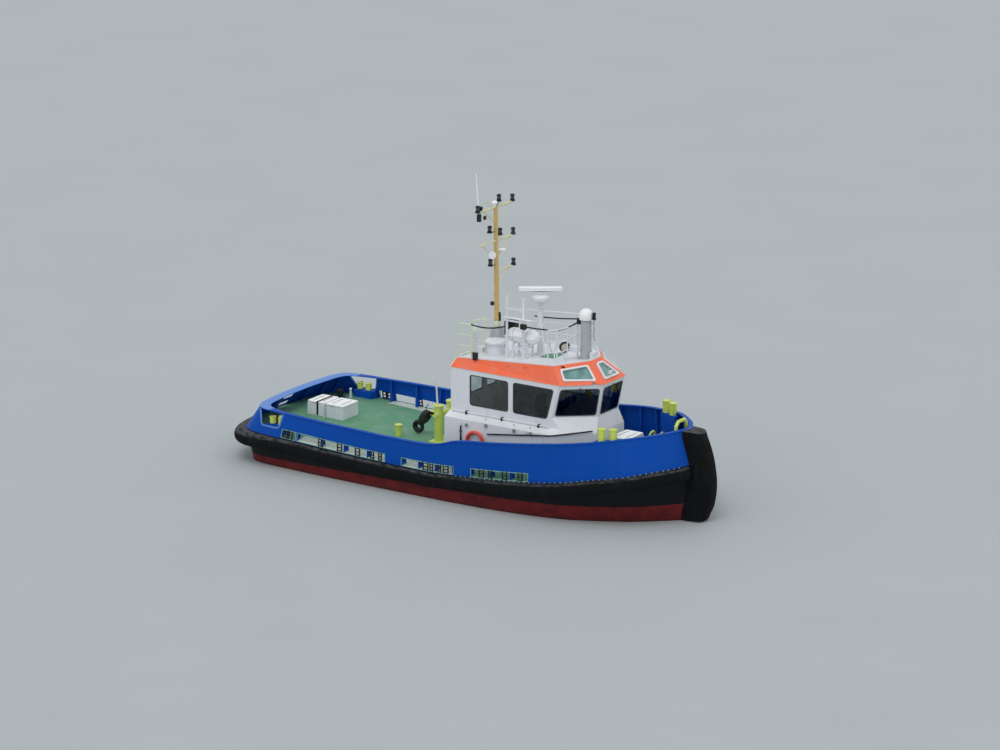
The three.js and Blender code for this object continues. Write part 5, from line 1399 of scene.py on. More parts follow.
@dataclass
class Roof:
    """The wheelhouse roof: orange fascias, white rims, a green walkway, skylights and edge lamps."""

    aft_edge: float = -0.2
    aft_height: float = 4.255
    rise: float = 0.0745
    foot: float = 4.0004
    # The fascias' lower and upper outlines: aft edge, half width, corner x, front x, half width of the front.
    low_plan: tuple[float, ...] = (-0.31, 1.52, 3.76, 4.835, 0.64)
    high_plan: tuple[float, ...] = (-0.2, 1.28, 3.4, 4.125, 0.29)
    margins: tuple[float, ...] = (0.18, 0.21, 0.2, 0.21)
    walkway_corners: tuple[Pair, ...] = ((2.3, -0.4), (2.85, -0.4), (2.85, 0.3), (2.3, 0.3))

    def __post_init__(self) -> None:
        """Turns the margins round each skylight into an array, one for each edge."""
        self.skylight_margins = np.array(self.margins)

    def top(self, x: float) -> float:
        """Height of the roof's deck."""
        return self.aft_height + self.rise * (x - self.aft_edge)

    def rings(self, inset: float = 0.0) -> tuple[Points, Points]:
        """The lower and upper outlines of the fascias, drawn in by an inset."""
        plans = []
        for aft, half, corner, front, front_half in (self.low_plan, self.high_plan):
            a, h, c = aft + inset, half - inset, corner - 0.4 * inset
            f, fh = front - inset, front_half - 0.45 * inset
            plans.append([(a, h), (c, h), (f, fh), (f, -fh), (c, -h), (a, -h)])
        low = np.array([(x, y, self.foot) for x, y in plans[0]])
        high = np.array([(x, y, self.top(x)) for x, y in plans[1]])
        return low, high

    def rims(self) -> Object:
        """A white kerb along the roof's deck, and thin white edges down the two aft corners."""
        low, high = self.rings()
        inner = self.rings(0.05)[1]
        kerb = ring_plate(high + vec(0, 0, 0.02), inner + vec(0, 0, 0.02), 0.05)
        edges = [rod([high[i] + vec(0, 0, 0.01), low[i]], 0.018, 8) for i in (0, 5)]
        foot = rod([low[0], low[5]], 0.018, 8)
        return put("roof_kerb", [kerb, *edges, foot], Finishes.white, bevel=0.006)

    def walkway(self) -> Object:
        """A patch of non-slip green paint on the white roof deck, where the crew walks."""
        edge = np.array([(x, y, self.top(x) + 0.003) for x, y in self.walkway_corners])
        return put("roof_walkway", [plate(edge, 0.003)], Finishes.deck)

    def skylight_frames(self) -> Object:
        """White frames with rounded corners round the three skylights."""
        parts = []
        for corners in front_faces(*self.rings()):
            outer = pane_outline(corners, self.skylight_margins - 0.05, 0.07)
            inner = pane_outline(corners, self.skylight_margins + 0.012, 0.06)
            parts.append(ring_plate(outer, inner, 0.1))
        return put("skylight_frames", parts, Finishes.white, bevel=0.008)

    def skylights(self) -> Object:
        """The three panes of the skylights."""
        panes = [
            plate(pane_outline(corners, self.skylight_margins + 0.004, 0.06), 0.012)
            for corners in front_faces(*self.rings())
        ]
        tint = shop.glass("skylight_tint", srgb(232, 244, 243))
        return put("skylight_panes", panes, tint, nodes=["skylight_glass"])

    def blinds(self) -> Object:
        """A pale blind drawn across behind each skylight."""
        parts = []
        for corners in front_faces(*self.rings()):
            inward = unit(np.cross(corners[1] - corners[0], corners[3] - corners[0]))
            inward *= np.sign((vec(2.0, 0.0, 3.0) - corners[0]) @ inward)
            outline = pane_outline(corners, self.skylight_margins + 0.01, 0.06)
            parts.append(plate(outline + inward * 0.055, 0.006))
        return put("skylight_blinds", parts, Finishes.blind)

    def edge_lamps(self) -> list[Object]:
        """Side lamps and small eyes on the fascias' upper edges, and a lamp box on the front fascia."""
        bodies = [
            block((0.43, -1.36, 4.28), (0.575, -1.24, 4.49)),
            block((0.41, -1.38, 4.49), (0.595, -1.24, 4.52)),
        ]
        eyes = []
        for x in (1.75, 2.38):
            foot = (x, -1.33, self.top(x) - 0.1)
            eyes.append(turned([(0.03, 0.0), (0.03, 0.03), (0.012, 0.04)], foot, (0, -0.9, 0.5), 16))
        front = block((4.76, -0.27, 4.25), (4.83, -0.1, 4.35))
        return [
            put("side_lamps", mirrored(bodies), Finishes.black, bevel=0.012),
            put("fascia_eyes", mirrored(eyes), Finishes.orange),
            put("front_lamp_box", [front], Finishes.white, bevel=0.01),
        ]

    def _is_deck(self, normals: Points, centres: Points) -> Points:
        """Which faces of the roof look up from its top."""
        return (normals[:, 2] > 0.97) & (centres[:, 2] > 4.2)

    def build(self) -> list[Object]:
        """Makes the roof."""
        roof = refine("roof", Finishes.orange, 0.004)
        two_tone(roof, Finishes.white, self._is_deck)
        return [
            roof, self.skylights(), self.rims(), self.walkway(), self.skylight_frames(), self.blinds(),
            *self.edge_lamps(),
        ]


@dataclass
class RoofGear:
    """What stands on the roof: railing, hoops, vent, antennas, raft, radar, searchlight and dome."""

    vent_foot: Place = (0.73, -0.5, 0.0)
    vent_profile: Profile = (
        (0.27, 4.31), (0.265, 4.7), (0.325, 4.695), (0.345, 4.72), (0.345, 4.755), (0.32, 4.785),
        (0.2, 4.812), (0.07, 4.82), (0.065, 4.85), (0.0, 4.855),
    )
    raft_at: Place = (1.77, -0.5, 5.07)
    raft_half: float = 0.565
    raft_radius: float = 0.23
    # The raft's outline: share of its length, and share of its radius there.
    raft_outline: Profile = (
        (0.0, 0.25), (0.02, 0.5), (0.06, 0.74), (0.1, 0.86), (0.16, 0.97), (0.2, 1.0), (0.24, 0.985),
        (0.5, 0.99), (0.76, 0.985), (0.8, 1.0), (0.84, 0.97), (0.9, 0.9), (0.94, 0.74), (0.98, 0.5),
        (1.0, 0.25),
    )
    radar_foot: Place = (2.08, 0.0, 0.0)
    pedestal_profile: Profile = (
        (0.17, 4.42), (0.17, 4.46), (0.1, 4.48), (0.092, 6.02), (0.12, 6.06), (0.2, 6.1), (0.262, 6.16),
        (0.278, 6.22), (0.265, 6.29), (0.2, 6.34), (0.09, 6.352),
    )
    pedestal_braces: tuple[Pair, ...] = ((-0.32, 0.0), (0.3, 0.22), (0.3, -0.22))
    light_at: Place = (3.22, -0.43, 4.94)
    column_at: Pair = (3.77, 0.0)
    shaft_profile: Profile = (
        (0.23, 4.545), (0.23, 4.575), (0.175, 4.585), (0.165, 5.76), (0.19, 5.785), (0.19, 5.8),
    )
    dome_profile: Profile = (
        (0.2, 5.79), (0.222, 5.8), (0.228, 5.86), (0.224, 5.93), (0.205, 6.0), (0.17, 6.06), (0.12, 6.105),
        (0.06, 6.13), (0.0, 6.136),
    )
    pole_lamp_profile: Profile = (
        (0.04, 5.82), (0.068, 5.83), (0.068, 5.87), (0.05, 5.88), (0.05, 5.99), (0.07, 6.0), (0.06, 6.04),
    )
    # Each hoop over the ladder: its y, the x of its aft and fore legs, and their heights.
    hoops: tuple[tuple[float, ...], ...] = (
        (-1.25, -0.17, 0.33, 5.37, 5.37), (-0.5, -0.18, 0.368, 5.26, 5.42),
    )
    hoop_foot: float = 4.28
    ladder_x: float = -0.42
    # Each stringer of the ladder: its y down the wall, and at the roof.
    stringers: tuple[Pair, ...] = ((-1.2, -1.25), (-0.55, -0.5))
    louvre_foot: Profile = ((0.09, 4.3), (0.09, 4.36), (0.03, 4.37), (0.03, 5.0), (0.08, 5.01), (0.08, 5.025))
    post_profile: Profile = (
        (0.11, 4.28), (0.11, 4.32), (0.06, 4.34), (0.06, 5.02), (0.085, 5.06), (0.09, 5.14), (0.07, 5.26),
        (0.03, 5.34),
    )
    knob_profile: Profile = ((0.05, 5.07), (0.08, 5.13), (0.085, 5.2), (0.06, 5.26), (0.0, 5.285))
    # The roof's boxes, each from corner to corner.
    boxes: tuple[tuple[Place, Place], ...] = (
        ((3.4, -0.42, 4.8), (3.7, -0.2, 4.97)), ((4.0, -0.17, 4.56), (4.12, 0.11, 4.8)),
        ((-0.1, -0.42, 4.27), (0.18, -0.25, 4.43)), ((2.8, -0.5, 4.82), (2.97, -0.36, 5.02)),
    )
    # Each rope: its end, the points where it is tied, and its sag between them.
    ropes: tuple[tuple[str, tuple[Place, ...], tuple[float, ...]], ...] = (
        ("aft", ((0.31, -1.25, 5.39), (1.31, -0.785, 5.385)), (0.09,)),
        ("fore", ((1.99, -0.8, 5.47), (3.34, -1.0, 5.59), (3.536, -0.03, 5.7)), (0.02, 0.04)),
        ("inner", ((1.79, 0.12, 5.58), (3.5, 0.0, 5.77)), (0.03,)),
    )

    def vent(self) -> Object:
        """A mushroom vent: a drum under a wide shallow cap with a hub."""
        shape = turned(self.vent_profile, self.vent_foot, sides=40)
        return put("mushroom_vent", [shape], Finishes.white, nodes=["vent"])

    def raft(self) -> list[Object]:
        """A capsule turned about its length with ribbed ends, a seam flange and two straps."""
        x, y, z = self.raft_at
        half, radius = self.raft_half, self.raft_radius
        run, share = np.array(self.raft_outline).T
        fine = np.linspace(0, 1, 60)
        profile = np.column_stack([np.interp(fine, run, share) * radius, fine * 2 * half])
        capsule = turned(profile, (x - half, y, z), (1, 0, 0), 36)
        reach = vec(half - 0.03, radius + 0.012, 0.012)
        flange = block(vec(x, y, z) - reach, vec(x, y, z) + reach)
        raft = put("raft_capsule", [capsule, flange], Finishes.gel_coat, bevel=0.006, nodes=["life_raft"])
        a = np.linspace(0, 2 * np.pi, 36, endpoint=False)
        bands = []
        for dx in (-0.27, 0.25):
            circle = np.stack([0 * a, np.cos(a), np.sin(a)], axis=-1) * (radius + 0.002)
            bands.append(hoop(vec(x + dx, y, z) + circle, 0.007))
        return [raft, put("raft_straps", bands, Finishes.pale_grey)]

    def radar(self) -> list[Object]:
        """A braced pedestal with a flattened turning unit, and the scanner that turns on it."""
        x = self.radar_foot[0]
        column = turned(self.pedestal_profile, self.radar_foot, sides=36)
        collar = turned([(0.15, 5.93), (0.15, 5.96)], self.radar_foot, sides=28)
        braces = [
            rod([(x + dx, dy, 4.42), (x + dx * 0.25, dy * 0.25, 5.4)], 0.028, 10)
            for dx, dy in self.pedestal_braces
        ]
        parts = [column, collar, *braces]
        pedestal = put(
            "radar_pedestal_dressed", parts, Finishes.white, bevel=0.006, nodes=["radar_pedestal"]
        )
        scanner = refine("radar_scanner", Finishes.gel_coat, 0.03)
        return [pedestal, scanner]

    def searchlight(self) -> list[Object]:
        """A drum with a black rim and a domed lens on a yoke, turned a little to starboard."""
        x, y, z = self.light_at
        aim = unit(vec(0.78, -0.62, 0.0))
        drum = [(0.05, -0.15), (0.1, -0.14), (0.125, -0.1), (0.13, 0.02), (0.15, 0.08)]
        rim = [(0.15, 0.05), (0.17, 0.06), (0.175, 0.13), (0.15, 0.14), (0.12, 0.125), (0.115, 0.1)]
        lens = [(0.145, 0.095), (0.1, 0.11), (0.05, 0.117), (0.0, 0.12)]
        yoke = [(x, y - 0.19, z), (x, y - 0.19, 4.77), (x, y + 0.19, 4.77), (x, y + 0.19, z)]
        body = put("searchlight_drum", [
            turned(drum, (x, y, z), aim, 32),
            block((2.79, y - 0.08, 4.79), (2.965, y + 0.08, 4.99)),
            rod(rounded_path(yoke, 0.05), 0.016, 8),
            turned([(0.05, 4.45), (0.045, 4.5), (0.035, 4.52), (0.035, 4.77)], (x, y, 0)),
            rod([(2.88, y, 4.45), (2.88, y, 4.8)], 0.022, 10),
            turned([(0.085, 0.11), (0.085, 0.15), (0.07, 0.19), (0.03, 0.21)], (x, y, z), (0, 0, 1), 20),
        ], Finishes.gel_coat, bevel=0.006, nodes=["searchlight"])
        ring, glass = [turned(profile, (x, y, z), aim, 32) for profile in (rim, lens)]
        glow = shop.lamp("lamp_lens_search", srgb(236, 234, 210))
        return [
            body,
            put("searchlight_rim", [ring], Finishes.black, nodes=["searchlight"]),
            put("searchlight_lens", [glass], glow, nodes=["searchlight"]),
        ]

    def column(self) -> list[Object]:
        """The satellite dome on its grey column, with a lamp pole beside it."""
        x, y = self.column_at
        pole_x = x + 0.29
        shaft = put("dome_shaft", [
            turned(self.shaft_profile, (x, y, 0), sides=36),
            *(rod([(x, y, z), (pole_x, y, z)], 0.02, 8) for z in (5.3, 5.7)),
            rod([(pole_x, y, 5.15), (pole_x, y, 5.83)], 0.026, 10),
        ], Finishes.pale_grey, bevel=0.006, nodes=["dome_column"])
        dome = turned(self.dome_profile, (x, y, 0), sides=40)
        lamp = turned(self.pole_lamp_profile, (pole_x, y, 0), sides=20)
        return [
            shaft,
            put("dome_cover", [dome], Finishes.gel_coat, nodes=["dome_column"]),
            put("column_lamp", [lamp], Finishes.black),
        ]

    def ladder(self) -> Object:
        """Ladder up the aft wall, whose stringers end in two hoops with rungs that stand on the roof."""
        heavy, light = [], []
        for y, aft, fore, high_aft, high_fore in self.hoops:
            low, high = (aft, y, self.hoop_foot), (aft, y, high_aft)
            corners = [low, high, (fore, y, high_fore), (fore, y, self.hoop_foot)]
            heavy.append(rounded_path(corners, 0.1))
            light += [((aft, y, z), (fore, y, z)) for z in (4.66, 5.02)]
        light.append(((-0.17, -1.25, 4.36), (0.33, -1.25, 4.5)))
        x, sides = self.ladder_x, [y for y, _ in self.stringers]
        for y, y_top in self.stringers:
            corners = [(x, y, 1.18), (x, y, 4.12), (-0.27, y, 4.24), (-0.17, y_top, 4.4)]
            heavy.append(rounded_path(corners, 0.06))
        light += [((x, sides[0], z), (x, sides[1], z)) for z in np.arange(1.33, 4.1, 0.29)]
        light += [((x, y, z), (x + 0.09, y, z)) for y in sides for z in (1.5, 2.3)]
        parts = [rod(path, 0.024, 10) for path in heavy] + [rod(path, 0.018, 8) for path in light]
        return put("ladder_and_hoops", parts, Finishes.ladder, nodes=["ladder"])

    def louvre_box(self) -> list[Object]:
        """A black louvred box on a white post beside the raft."""
        slat = np.array([(0.87, -0.03, 0), (1.13, -0.03, 0), (1.13, 0.01, 0.035), (0.87, 0.01, 0.035)])
        slats = [plate(slat + vec(0, 0, z), 0.006) for z in np.arange(5.06, 5.32, 0.05)]
        box = block((0.86, 0.0, 5.02), (1.14, 0.2, 5.36))
        foot = turned(self.louvre_foot, (1.0, 0.1, 0), sides=20)
        return [
            put("louvre_box", [box, *slats], Finishes.black, bevel=0.008),
            put("louvre_box_stand", [foot], Finishes.white, bevel=0.004),
        ]

    def small_gear(self) -> list[Object]:
        """A positioning post, boxes by the rail and the vent, a lamp and a rod, and a knob on the housing."""
        post = turned(self.post_profile, (0.31, -1.0, 0))
        boxes = [block(lo, hi) for lo, hi in self.boxes]
        knob = turned(self.knob_profile, (0.51, -0.1, 0), sides=20)
        flood = block((1.92, -0.92, 5.4), (2.1, -0.8, 5.56))
        whip = rod([(1.27, -0.785, 5.1), (1.27, -0.785, 5.6)], 0.02, 8)
        clamps = [block((1.25, -0.8, z), (1.32, -0.77, z + 0.03)) for z in (5.2, 5.45)]
        return [
            put("positioning_post", [post], Finishes.white),
            put("roof_boxes", boxes, Finishes.white, bevel=0.015),
            put("housing_knob", [knob], Finishes.ladder),
            put("pole_lamp_and_rod", [flood, whip, *clamps], Finishes.black, bevel=0.006),
            put("rope_knot", [puffed_box((3.536, 0.0, 5.704), (0.17, 0.17, 0.23), 0.6)], Finishes.rope),
        ]

    def safety_ropes(self) -> list[Object]:
        """Black safety ropes tied along the roof, each sagging between its ties as a parabola."""
        pieces = []
        for place, ends, sags in self.ropes:
            path = sagging_path(ends, sags)
            rope = put(f"roof_rope_{place}", [rod(path, 0.022, 10)], Finishes.rope, sharp=50)
            pieces.append(rope)
        return pieces

    def build(self) -> list[Object]:
        """Makes the roof gear."""
        frames = [
            refine(node, Finishes.white, bevel)
            for node, bevel in (("antenna_frame", 0.0), ("raft_cradle", 0.006), ("roof_railing", 0.0))
        ]
        return [
            *frames, self.vent(), *self.raft(), *self.radar(), *self.searchlight(), *self.column(),
            self.ladder(), *self.louvre_box(), *self.small_gear(), *self.safety_ropes(),
        ]


def sagging_path(ends: Sequence[Sequence[float]], sags: Sequence[float]) -> Points:
    """Points of a rope tied at each end point: straight, less 4 * sag * share * (1 - share) in height."""
    spans = []
    for a, b, sag in zip(ends[:-1], ends[1:], sags):
        t = np.linspace(0, 1, 16)[:, None]
        span = vec(*a) * (1 - t) + vec(*b) * t - vec(0, 0, 1) * (4 * sag * t * (1 - t))
        spans.append(span if not spans else span[1:])
    return np.vstack(spans)


@dataclass
class Mast:
    """The mast with its lanterns, horn, reflector dish, steps and whip."""

    foot_x: float = 0.46
    foot_z: float = 4.3
    lean: float = 0.06 / 4.62
    # Places (y, z) of the lanterns.
    lanterns: tuple[Pair, ...] = (
        (0.19, 9.1), (0.95, 8.96), (-1.0, 8.96), (-0.35, 8.19), (0.23, 8.01), (0.97, 7.88), (-0.33, 7.12),
        (0.97, 6.89),
    )
    lantern_foot: Profile = ((0.085, -0.03), (0.085, 0.0), (0.068, 0.02), (0.066, 0.05), (0.063, 0.052))
    lantern_cap: Profile = ((0.063, 0.135), (0.075, 0.14), (0.075, 0.16), (0.06, 0.185), (0.03, 0.2))
    lantern_lens: Profile = ((0.0595, 0.045), (0.0615, 0.05), (0.0615, 0.14), (0.0595, 0.145))
    # Each strut from (y, z) to (y, z), with its radius.
    yards: tuple[tuple[float, float, float, float, float], ...] = (
        (-0.95, 8.92, 0.97, 8.92, 0.032), (-0.96, 7.84, 0.99, 7.84, 0.032), (0.0, 6.85, 0.99, 6.85, 0.028),
        (-0.8, 7.84, 0.0, 7.25, 0.02), (0.8, 7.84, 0.0, 7.25, 0.02), (-0.7, 8.92, 0.0, 8.4, 0.02),
        (0.7, 8.92, 0.0, 8.4, 0.02), (0.8, 6.85, 0.0, 6.45, 0.02), (-0.1, 8.9, -0.55, 9.2, 0.016),
    )
    horn: Profile = ((0.03, 0.0), (0.04, 0.05), (0.05, 0.2), (0.085, 0.3), (0.12, 0.36), (0.115, 0.365))
    top_unit: Profile = ((0.03, 8.93), (0.03, 9.03), (0.09, 9.04), (0.1, 9.08), (0.07, 9.12))
    whip: tuple[Place, ...] = ((0.388, -0.895, 8.905), (0.33, -0.88, 9.214), (0.27, -0.9, 10.155))
    # Small boxes on the yards and the pole, each from corner to corner.
    boxes: tuple[tuple[Place, Place], ...] = (
        ((0.31, -0.93, 8.62), (0.43, -0.83, 8.86)), ((0.28, -0.92, 8.98), (0.46, -0.8, 9.1)),
        ((0.33, -0.6, 8.62), (0.41, -0.52, 8.74)), ((0.28, -0.13, 5.76), (0.38, -0.05, 5.88)),
    )

    def x_at(self, z: float) -> float:
        """Where the leaning mast stands at a height."""
        return self.foot_x - self.lean * (z - self.foot_z)

    def pole(self) -> list[Object]:
        """The leaning tapered pole, its yards and struts, and the tapered housing round its foot."""
        pole = rod([(self.x_at(4.4), 0, 4.4), (self.x_at(8.95), 0, 8.95)], np.array([0.082, 0.066]), 24)
        dressed = put("mast_dressed", [pole], Finishes.ochre, nodes=["mast"])
        struts = []
        for y0, z0, y1, z1, radius in self.yards:
            struts.append(rod([(self.x_at(z0), y0, z0), (self.x_at(z1), y1, z1)], radius, 12))
        points, faces = block((0.27, -0.2, 4.36), (0.65, 0.2, 5.08))
        upper = points[:, 2] > 5
        middle = vec(self.foot_x, 0.0)
        points[upper, :2] = middle + (points[upper, :2] - middle) * vec(0.79, 0.7)
        housing = put("mast_housing", [(points, faces)], Finishes.pale_grey, bevel=0.015)
        return [dressed, put("mast_yards", struts, Finishes.yard), housing]

    def lights(self) -> list[Object]:
        """Lanterns: a black base and cap with a clear lens between."""
        bases, lenses = [], []
        for y, z in self.lanterns:
            foot = (self.x_at(z), y, z)
            bases += [turned(profile, foot, sides=20) for profile in (self.lantern_foot, self.lantern_cap)]
            lenses.append(turned(self.lantern_lens, foot, sides=20))
            arm = np.array([(foot[0], y, z - 0.03), (foot[0], 0.0, min(z - 0.03, 8.9))])
            reach = (arm - arm[:1]) * (abs(y) < 0.5) - vec(0, 0, 1) * np.array([[0.0], [0.02]])
            bases.append(rod(arm[:1] + reach, 0.014, 6))
        dark = shop.lamp("lamp_lens_dark", srgb(48, 56, 56))
        return [
            put("mast_lantern_bodies", bases, Finishes.black),
            put("mast_lantern_lenses", lenses, dark),
        ]

    def fittings(self) -> list[Object]:
        """Horn, reflector dish, small boxes, steps and the whip."""
        x = self.x_at(7.5)
        horn = turned(self.horn, (x - 0.02, -0.22, 7.5), (0.6, -0.8, 0))
        dish = turned([(0.02, 0.0), (0.12, 0.01), (0.13, 0.03)], (x + 0.1, 0.2, 7.51), sides=20)
        sheath = rod(self.whip, np.array([0.03, 0.026, 0.017]), 8)
        gland = rod([(0.55, 0.02, 5.26), (0.54, 0.02, 5.54)], 0.035, 10)
        boxes = [block(lo, hi) for lo, hi in self.boxes]
        heights = np.arange(4.9, 8.5, 0.42)
        steps = [rod([(self.x_at(z), -0.17, z), (self.x_at(z), 0.17, z)], 0.012, 6) for z in heights]
        top = turned(self.top_unit, (0.4, -0.05, 0), sides=20)
        return [
            put("mast_horn", [horn, dish, sheath], Finishes.gel_coat),
            put("mast_boxes", [*boxes, gland], Finishes.black, bevel=0.012),
            put("mast_steps", steps, Finishes.ochre),
            put("mast_top_unit", [top], Finishes.gel_coat),
        ]

    def build(self) -> list[Object]:
        """Makes the mast."""
        return [*self.pole(), *self.lights(), *self.fittings()]


@dataclass
class DeckGear:
    """Lockers, towing gear, bitts, windlass and the small fittings on deck."""

    lid_thick: float = 0.05
    # Each locker's lid: its node, two corners (x, y) of its plan, and the height of its underside.
    lids: tuple[tuple[str, Pair, Pair, float], ...] = (
        ("locker_aft_lid", (-6.65, -0.425), (-5.97, 0.425), 1.586),
        ("locker_fore_lid", (-5.915, -0.44), (-5.215, 0.425), 1.586),
        ("bow_locker_lid", (4.98, -0.46), (5.62, 0.46), 2.276),
    )
    # The handle of a lid, from the corner of its plan.
    handle: tuple[Pair, ...] = ((0.2, -0.001), (0.2, -0.03), (0.34, -0.03), (0.34, -0.001))
    strap: Pair = (-6.28, -6.21)
    pipe_x: float = -5.935
    hook_eye: Place = (-2.0, 0.0, 1.85)
    hook_body: tuple[Place, ...] = ((-2.07, 0, 1.85), (-2.18, 0, 1.83), (-2.36, 0, 1.6), (-2.5, 0, 1.42))
    hook_lever: tuple[Place, ...] = ((-2.3, 0.05, 1.78), (-2.34, 0.12, 1.98), (-2.28, 0.16, 2.05))
    hook_curl: Place = (-2.56, 0.0, 1.31)
    capstan: Profile = (
        (0.17, 0.0), (0.17, 0.05), (0.1, 0.08), (0.09, 0.22), (0.13, 0.27), (0.13, 0.3), (0.04, 0.32),
    )
    air_pipe: Profile = ((0.045, 0.0), (0.04, 0.3), (0.05, 0.32), (0.02, 0.35))
    # Each casing at a pair of bitts: its aft and fore ends, the line of its inner side there, and its top.
    casings: tuple[tuple[float, float, float, float, float], ...] = (
        (5.4, 6.1, 1.815, 1.52, 2.63), (-6.76, -6.06, 2.3, 2.3, 1.32),
    )

    def lid(self, node: str, lo: Pair, hi: Pair, foot: float) -> list[Object]:
        """A lid with rounded corners, two raised ribs and a handle, in a locker's plan from lo to hi."""
        (aft, right), (fore, left) = lo, hi
        middle, top = foot + self.lid_thick / 2, foot + self.lid_thick
        corners = [(aft, right, middle), (fore, right, middle), (fore, left, middle), (aft, left, middle)]
        outline = rounded_path(corners, 0.07, 6, closed=True)
        cover = put(
            f"{node}_dressed", [plate(outline, self.lid_thick)], Finishes.gel_coat,
            body=node, bevel=0.012, nodes=[node],
        )
        ribs = []
        for share in (0.25, 0.75):
            x = aft + (fore - aft) * share
            low, high = (x - 0.008, right + 0.14, top - 0.002), (x + 0.008, left - 0.14, top + 0.006)
            ribs.append(block(low, high))
        seals = put(f"{node}_ribs", ribs, Finishes.rubber, body=node, bevel=0.003)
        handle = rounded_path([(aft + x, right + y, foot + 0.02) for x, y in self.handle], 0.015)
        grip = put(f"{node}_handle", [rod(handle, 0.007, 8)], Finishes.galvanised, body=node)
        return [cover, seals, grip]

    def lockers(self) -> list[Object]:
        """Three lockers with their lids, a strap over the aftermost, and two pipes between the aft two."""
        white, rubber = Finishes.white, Finishes.rubber
        pieces = [refine(node, white, 0.012) for node in ("locker_aft", "locker_fore", "bow_locker")]
        for node, lo, hi, foot in self.lids:
            pieces += self.lid(node, lo, hi, foot)
        aft, fore = self.strap
        over = [
            block((aft, -0.43, 1.632), (fore, 0.42, 1.648)),
            block((aft, -0.438, 1.59), (fore, -0.424, 1.648)),
        ]
        down = block((aft, -0.438, 1.2), (fore, -0.426, 1.58))
        pipes = []
        for y, z in ((-0.5, 1.6), (-0.4, 1.5)):
            places = ((y, 1.12), (y, z), (y - 0.07, z), (y - 0.07, z - 0.05))
            pipes.append(rod(rounded_path([(self.pipe_x, a, b) for a, b in places], 0.03), 0.02, 10))
        return [
            *pieces,
            put("locker_strap_over", over, rubber, body="locker_aft_lid", bevel=0.003),
            put("locker_strap_down", [down], rubber, bevel=0.003),
            put("locker_vent_pipes", pipes, white),
        ]

    def hook(self) -> Object:
        """The tow hook: a heavy body on its pin eye, a curled hook and a tripping lever."""
        middle_line = rounded_path(self.hook_body, 0.1, 6)
        share = np.linspace(0, 1, len(middle_line))
        radius = np.interp(share, [0, 0.15, 0.4, 0.75, 1], [0.038, 0.06, 0.17, 0.17, 0.12])
        a = np.linspace(math.radians(70), math.radians(385), 40)
        curl = vec(*self.hook_curl) + 0.14 * np.stack([np.cos(a), 0 * a, np.sin(a)], axis=-1)
        thick = np.interp(np.linspace(0, 1, len(a)), [0, 0.5, 1], [0.08, 0.085, 0.06])
        lever = rounded_path(self.hook_lever, 0.05)
        eye = ring_eye(self.hook_eye, 0.048, 0.09, 0.039)
        parts = [rod(middle_line, radius, 20), rod(curl, thick, 16), rod(lever, 0.014, 8), eye]
        return put("tow_hook_dressed", parts, Finishes.black, body="tow_hook", nodes=["tow_hook"])

    def bitt_casings(self) -> Object:
        """Blue plating that boxes in the feet of the fore and aft bitts, out to the bulwark."""
        parts = []
        for aft, fore, y_aft, y_fore, top in self.casings:
            x, inner = np.linspace(aft, fore, 8), np.linspace(y_aft, y_fore, 8)
            edge = form.on_side(np.linspace(aft - 0.5, fore + 0.5, 40), 0.0)
            head = form.on_side(edge[:, 0], top - edge[:, 2:])
            out = [np.interp(x, line[:, 0], line[:, 1]) - 0.06 for line in (edge, head)]
            low = np.array([form.deck_height(a, b) - 0.02 for a, b in zip(x, inner)])
            high = np.full(len(x), top)
            corners = [(x, inner, low), (x, out[0], low), (x, out[1], high), (x, inner, high)]
            points = np.stack([np.stack(c, axis=-1) for c in corners], axis=1)
            parts.append((points, capped_faces(*points.shape[:2])))
        return put("bitt_casings", mirrored(parts), Finishes.bulwark_inside, bevel=0.01)

    def bent_rod(self) -> Object:
        """A thin white rod that stands on the starboard towing post and bends aft."""
        path = rounded_path([(-1.62, -0.3, 2.24), (-1.66, -0.3, 2.9), (-1.81, -0.3, 3.21)], 0.2)
        return put("bent_rod", [rod(path, 0.03, 8)], Finishes.white, sharp=50)

    def foredeck(self) -> Object:
        """The windlass's painted ring and brake wheel, each on a short stem."""
        a = np.linspace(0, 2 * np.pi, 28, endpoint=False)
        tilted = np.stack([0.03 * np.sin(a), 0.15 * np.cos(a), 0.14 * np.sin(a)], axis=-1)
        upright = 0.11 * np.stack([0 * a, np.cos(a), np.sin(a)], axis=-1)
        parts = [
            hoop(vec(6.2, 0, 2.44) + tilted, 0.03),
            hoop(vec(6.44, 0.2, 2.42) + upright, 0.018),
            rod([(6.2, 0, 2.2), (6.2, 0, 2.32)], 0.03, 8),
            rod([(6.35, 0.2, 2.42), (6.46, 0.2, 2.42)], 0.02, 8),
        ]
        return put("windlass_ring_and_wheel", parts, Finishes.lime)

    def aft_corner(self) -> list[Object]:
        """A low black capstan and a white post by each quarter opening."""
        z = form.deck_height(-6.9, 1.9)
        capstans = mirrored([turned(self.capstan, (-6.9, 1.75, z), sides=28)])
        posts = mirrored([turned(self.air_pipe, (-6.62, 1.95, z), sides=16)])
        return [
            put("aft_capstans", capstans, Finishes.black, bevel=0.006),
            put("aft_air_pipes", posts, Finishes.white),
        ]

    def build(self) -> list[Object]:
        """Makes the deck gear."""
        lime, grey = Finishes.lime, Finishes.grey
        steel = dress([
            ("tow_bitt", lime, 0.008), ("short_bollard", lime, 0.01), ("bow_staple", lime, 0.0),
            ("windlass", grey, 0.008), ("windlass_drum", grey, 0.005),
        ])
        for place, height in (("fore", 2.63), ("aft", 1.38)):
            footed = shop.footed(Finishes.bulwark_inside, lime, height)
            steel += [refine(f"bitt_{place}_{side}", footed, 0.01) for side in ("port", "starboard")]
        return [
            *steel, self.bitt_casings(), *self.lockers(), self.hook(), self.bent_rod(), self.foredeck(),
            *self.aft_corner(),
        ]


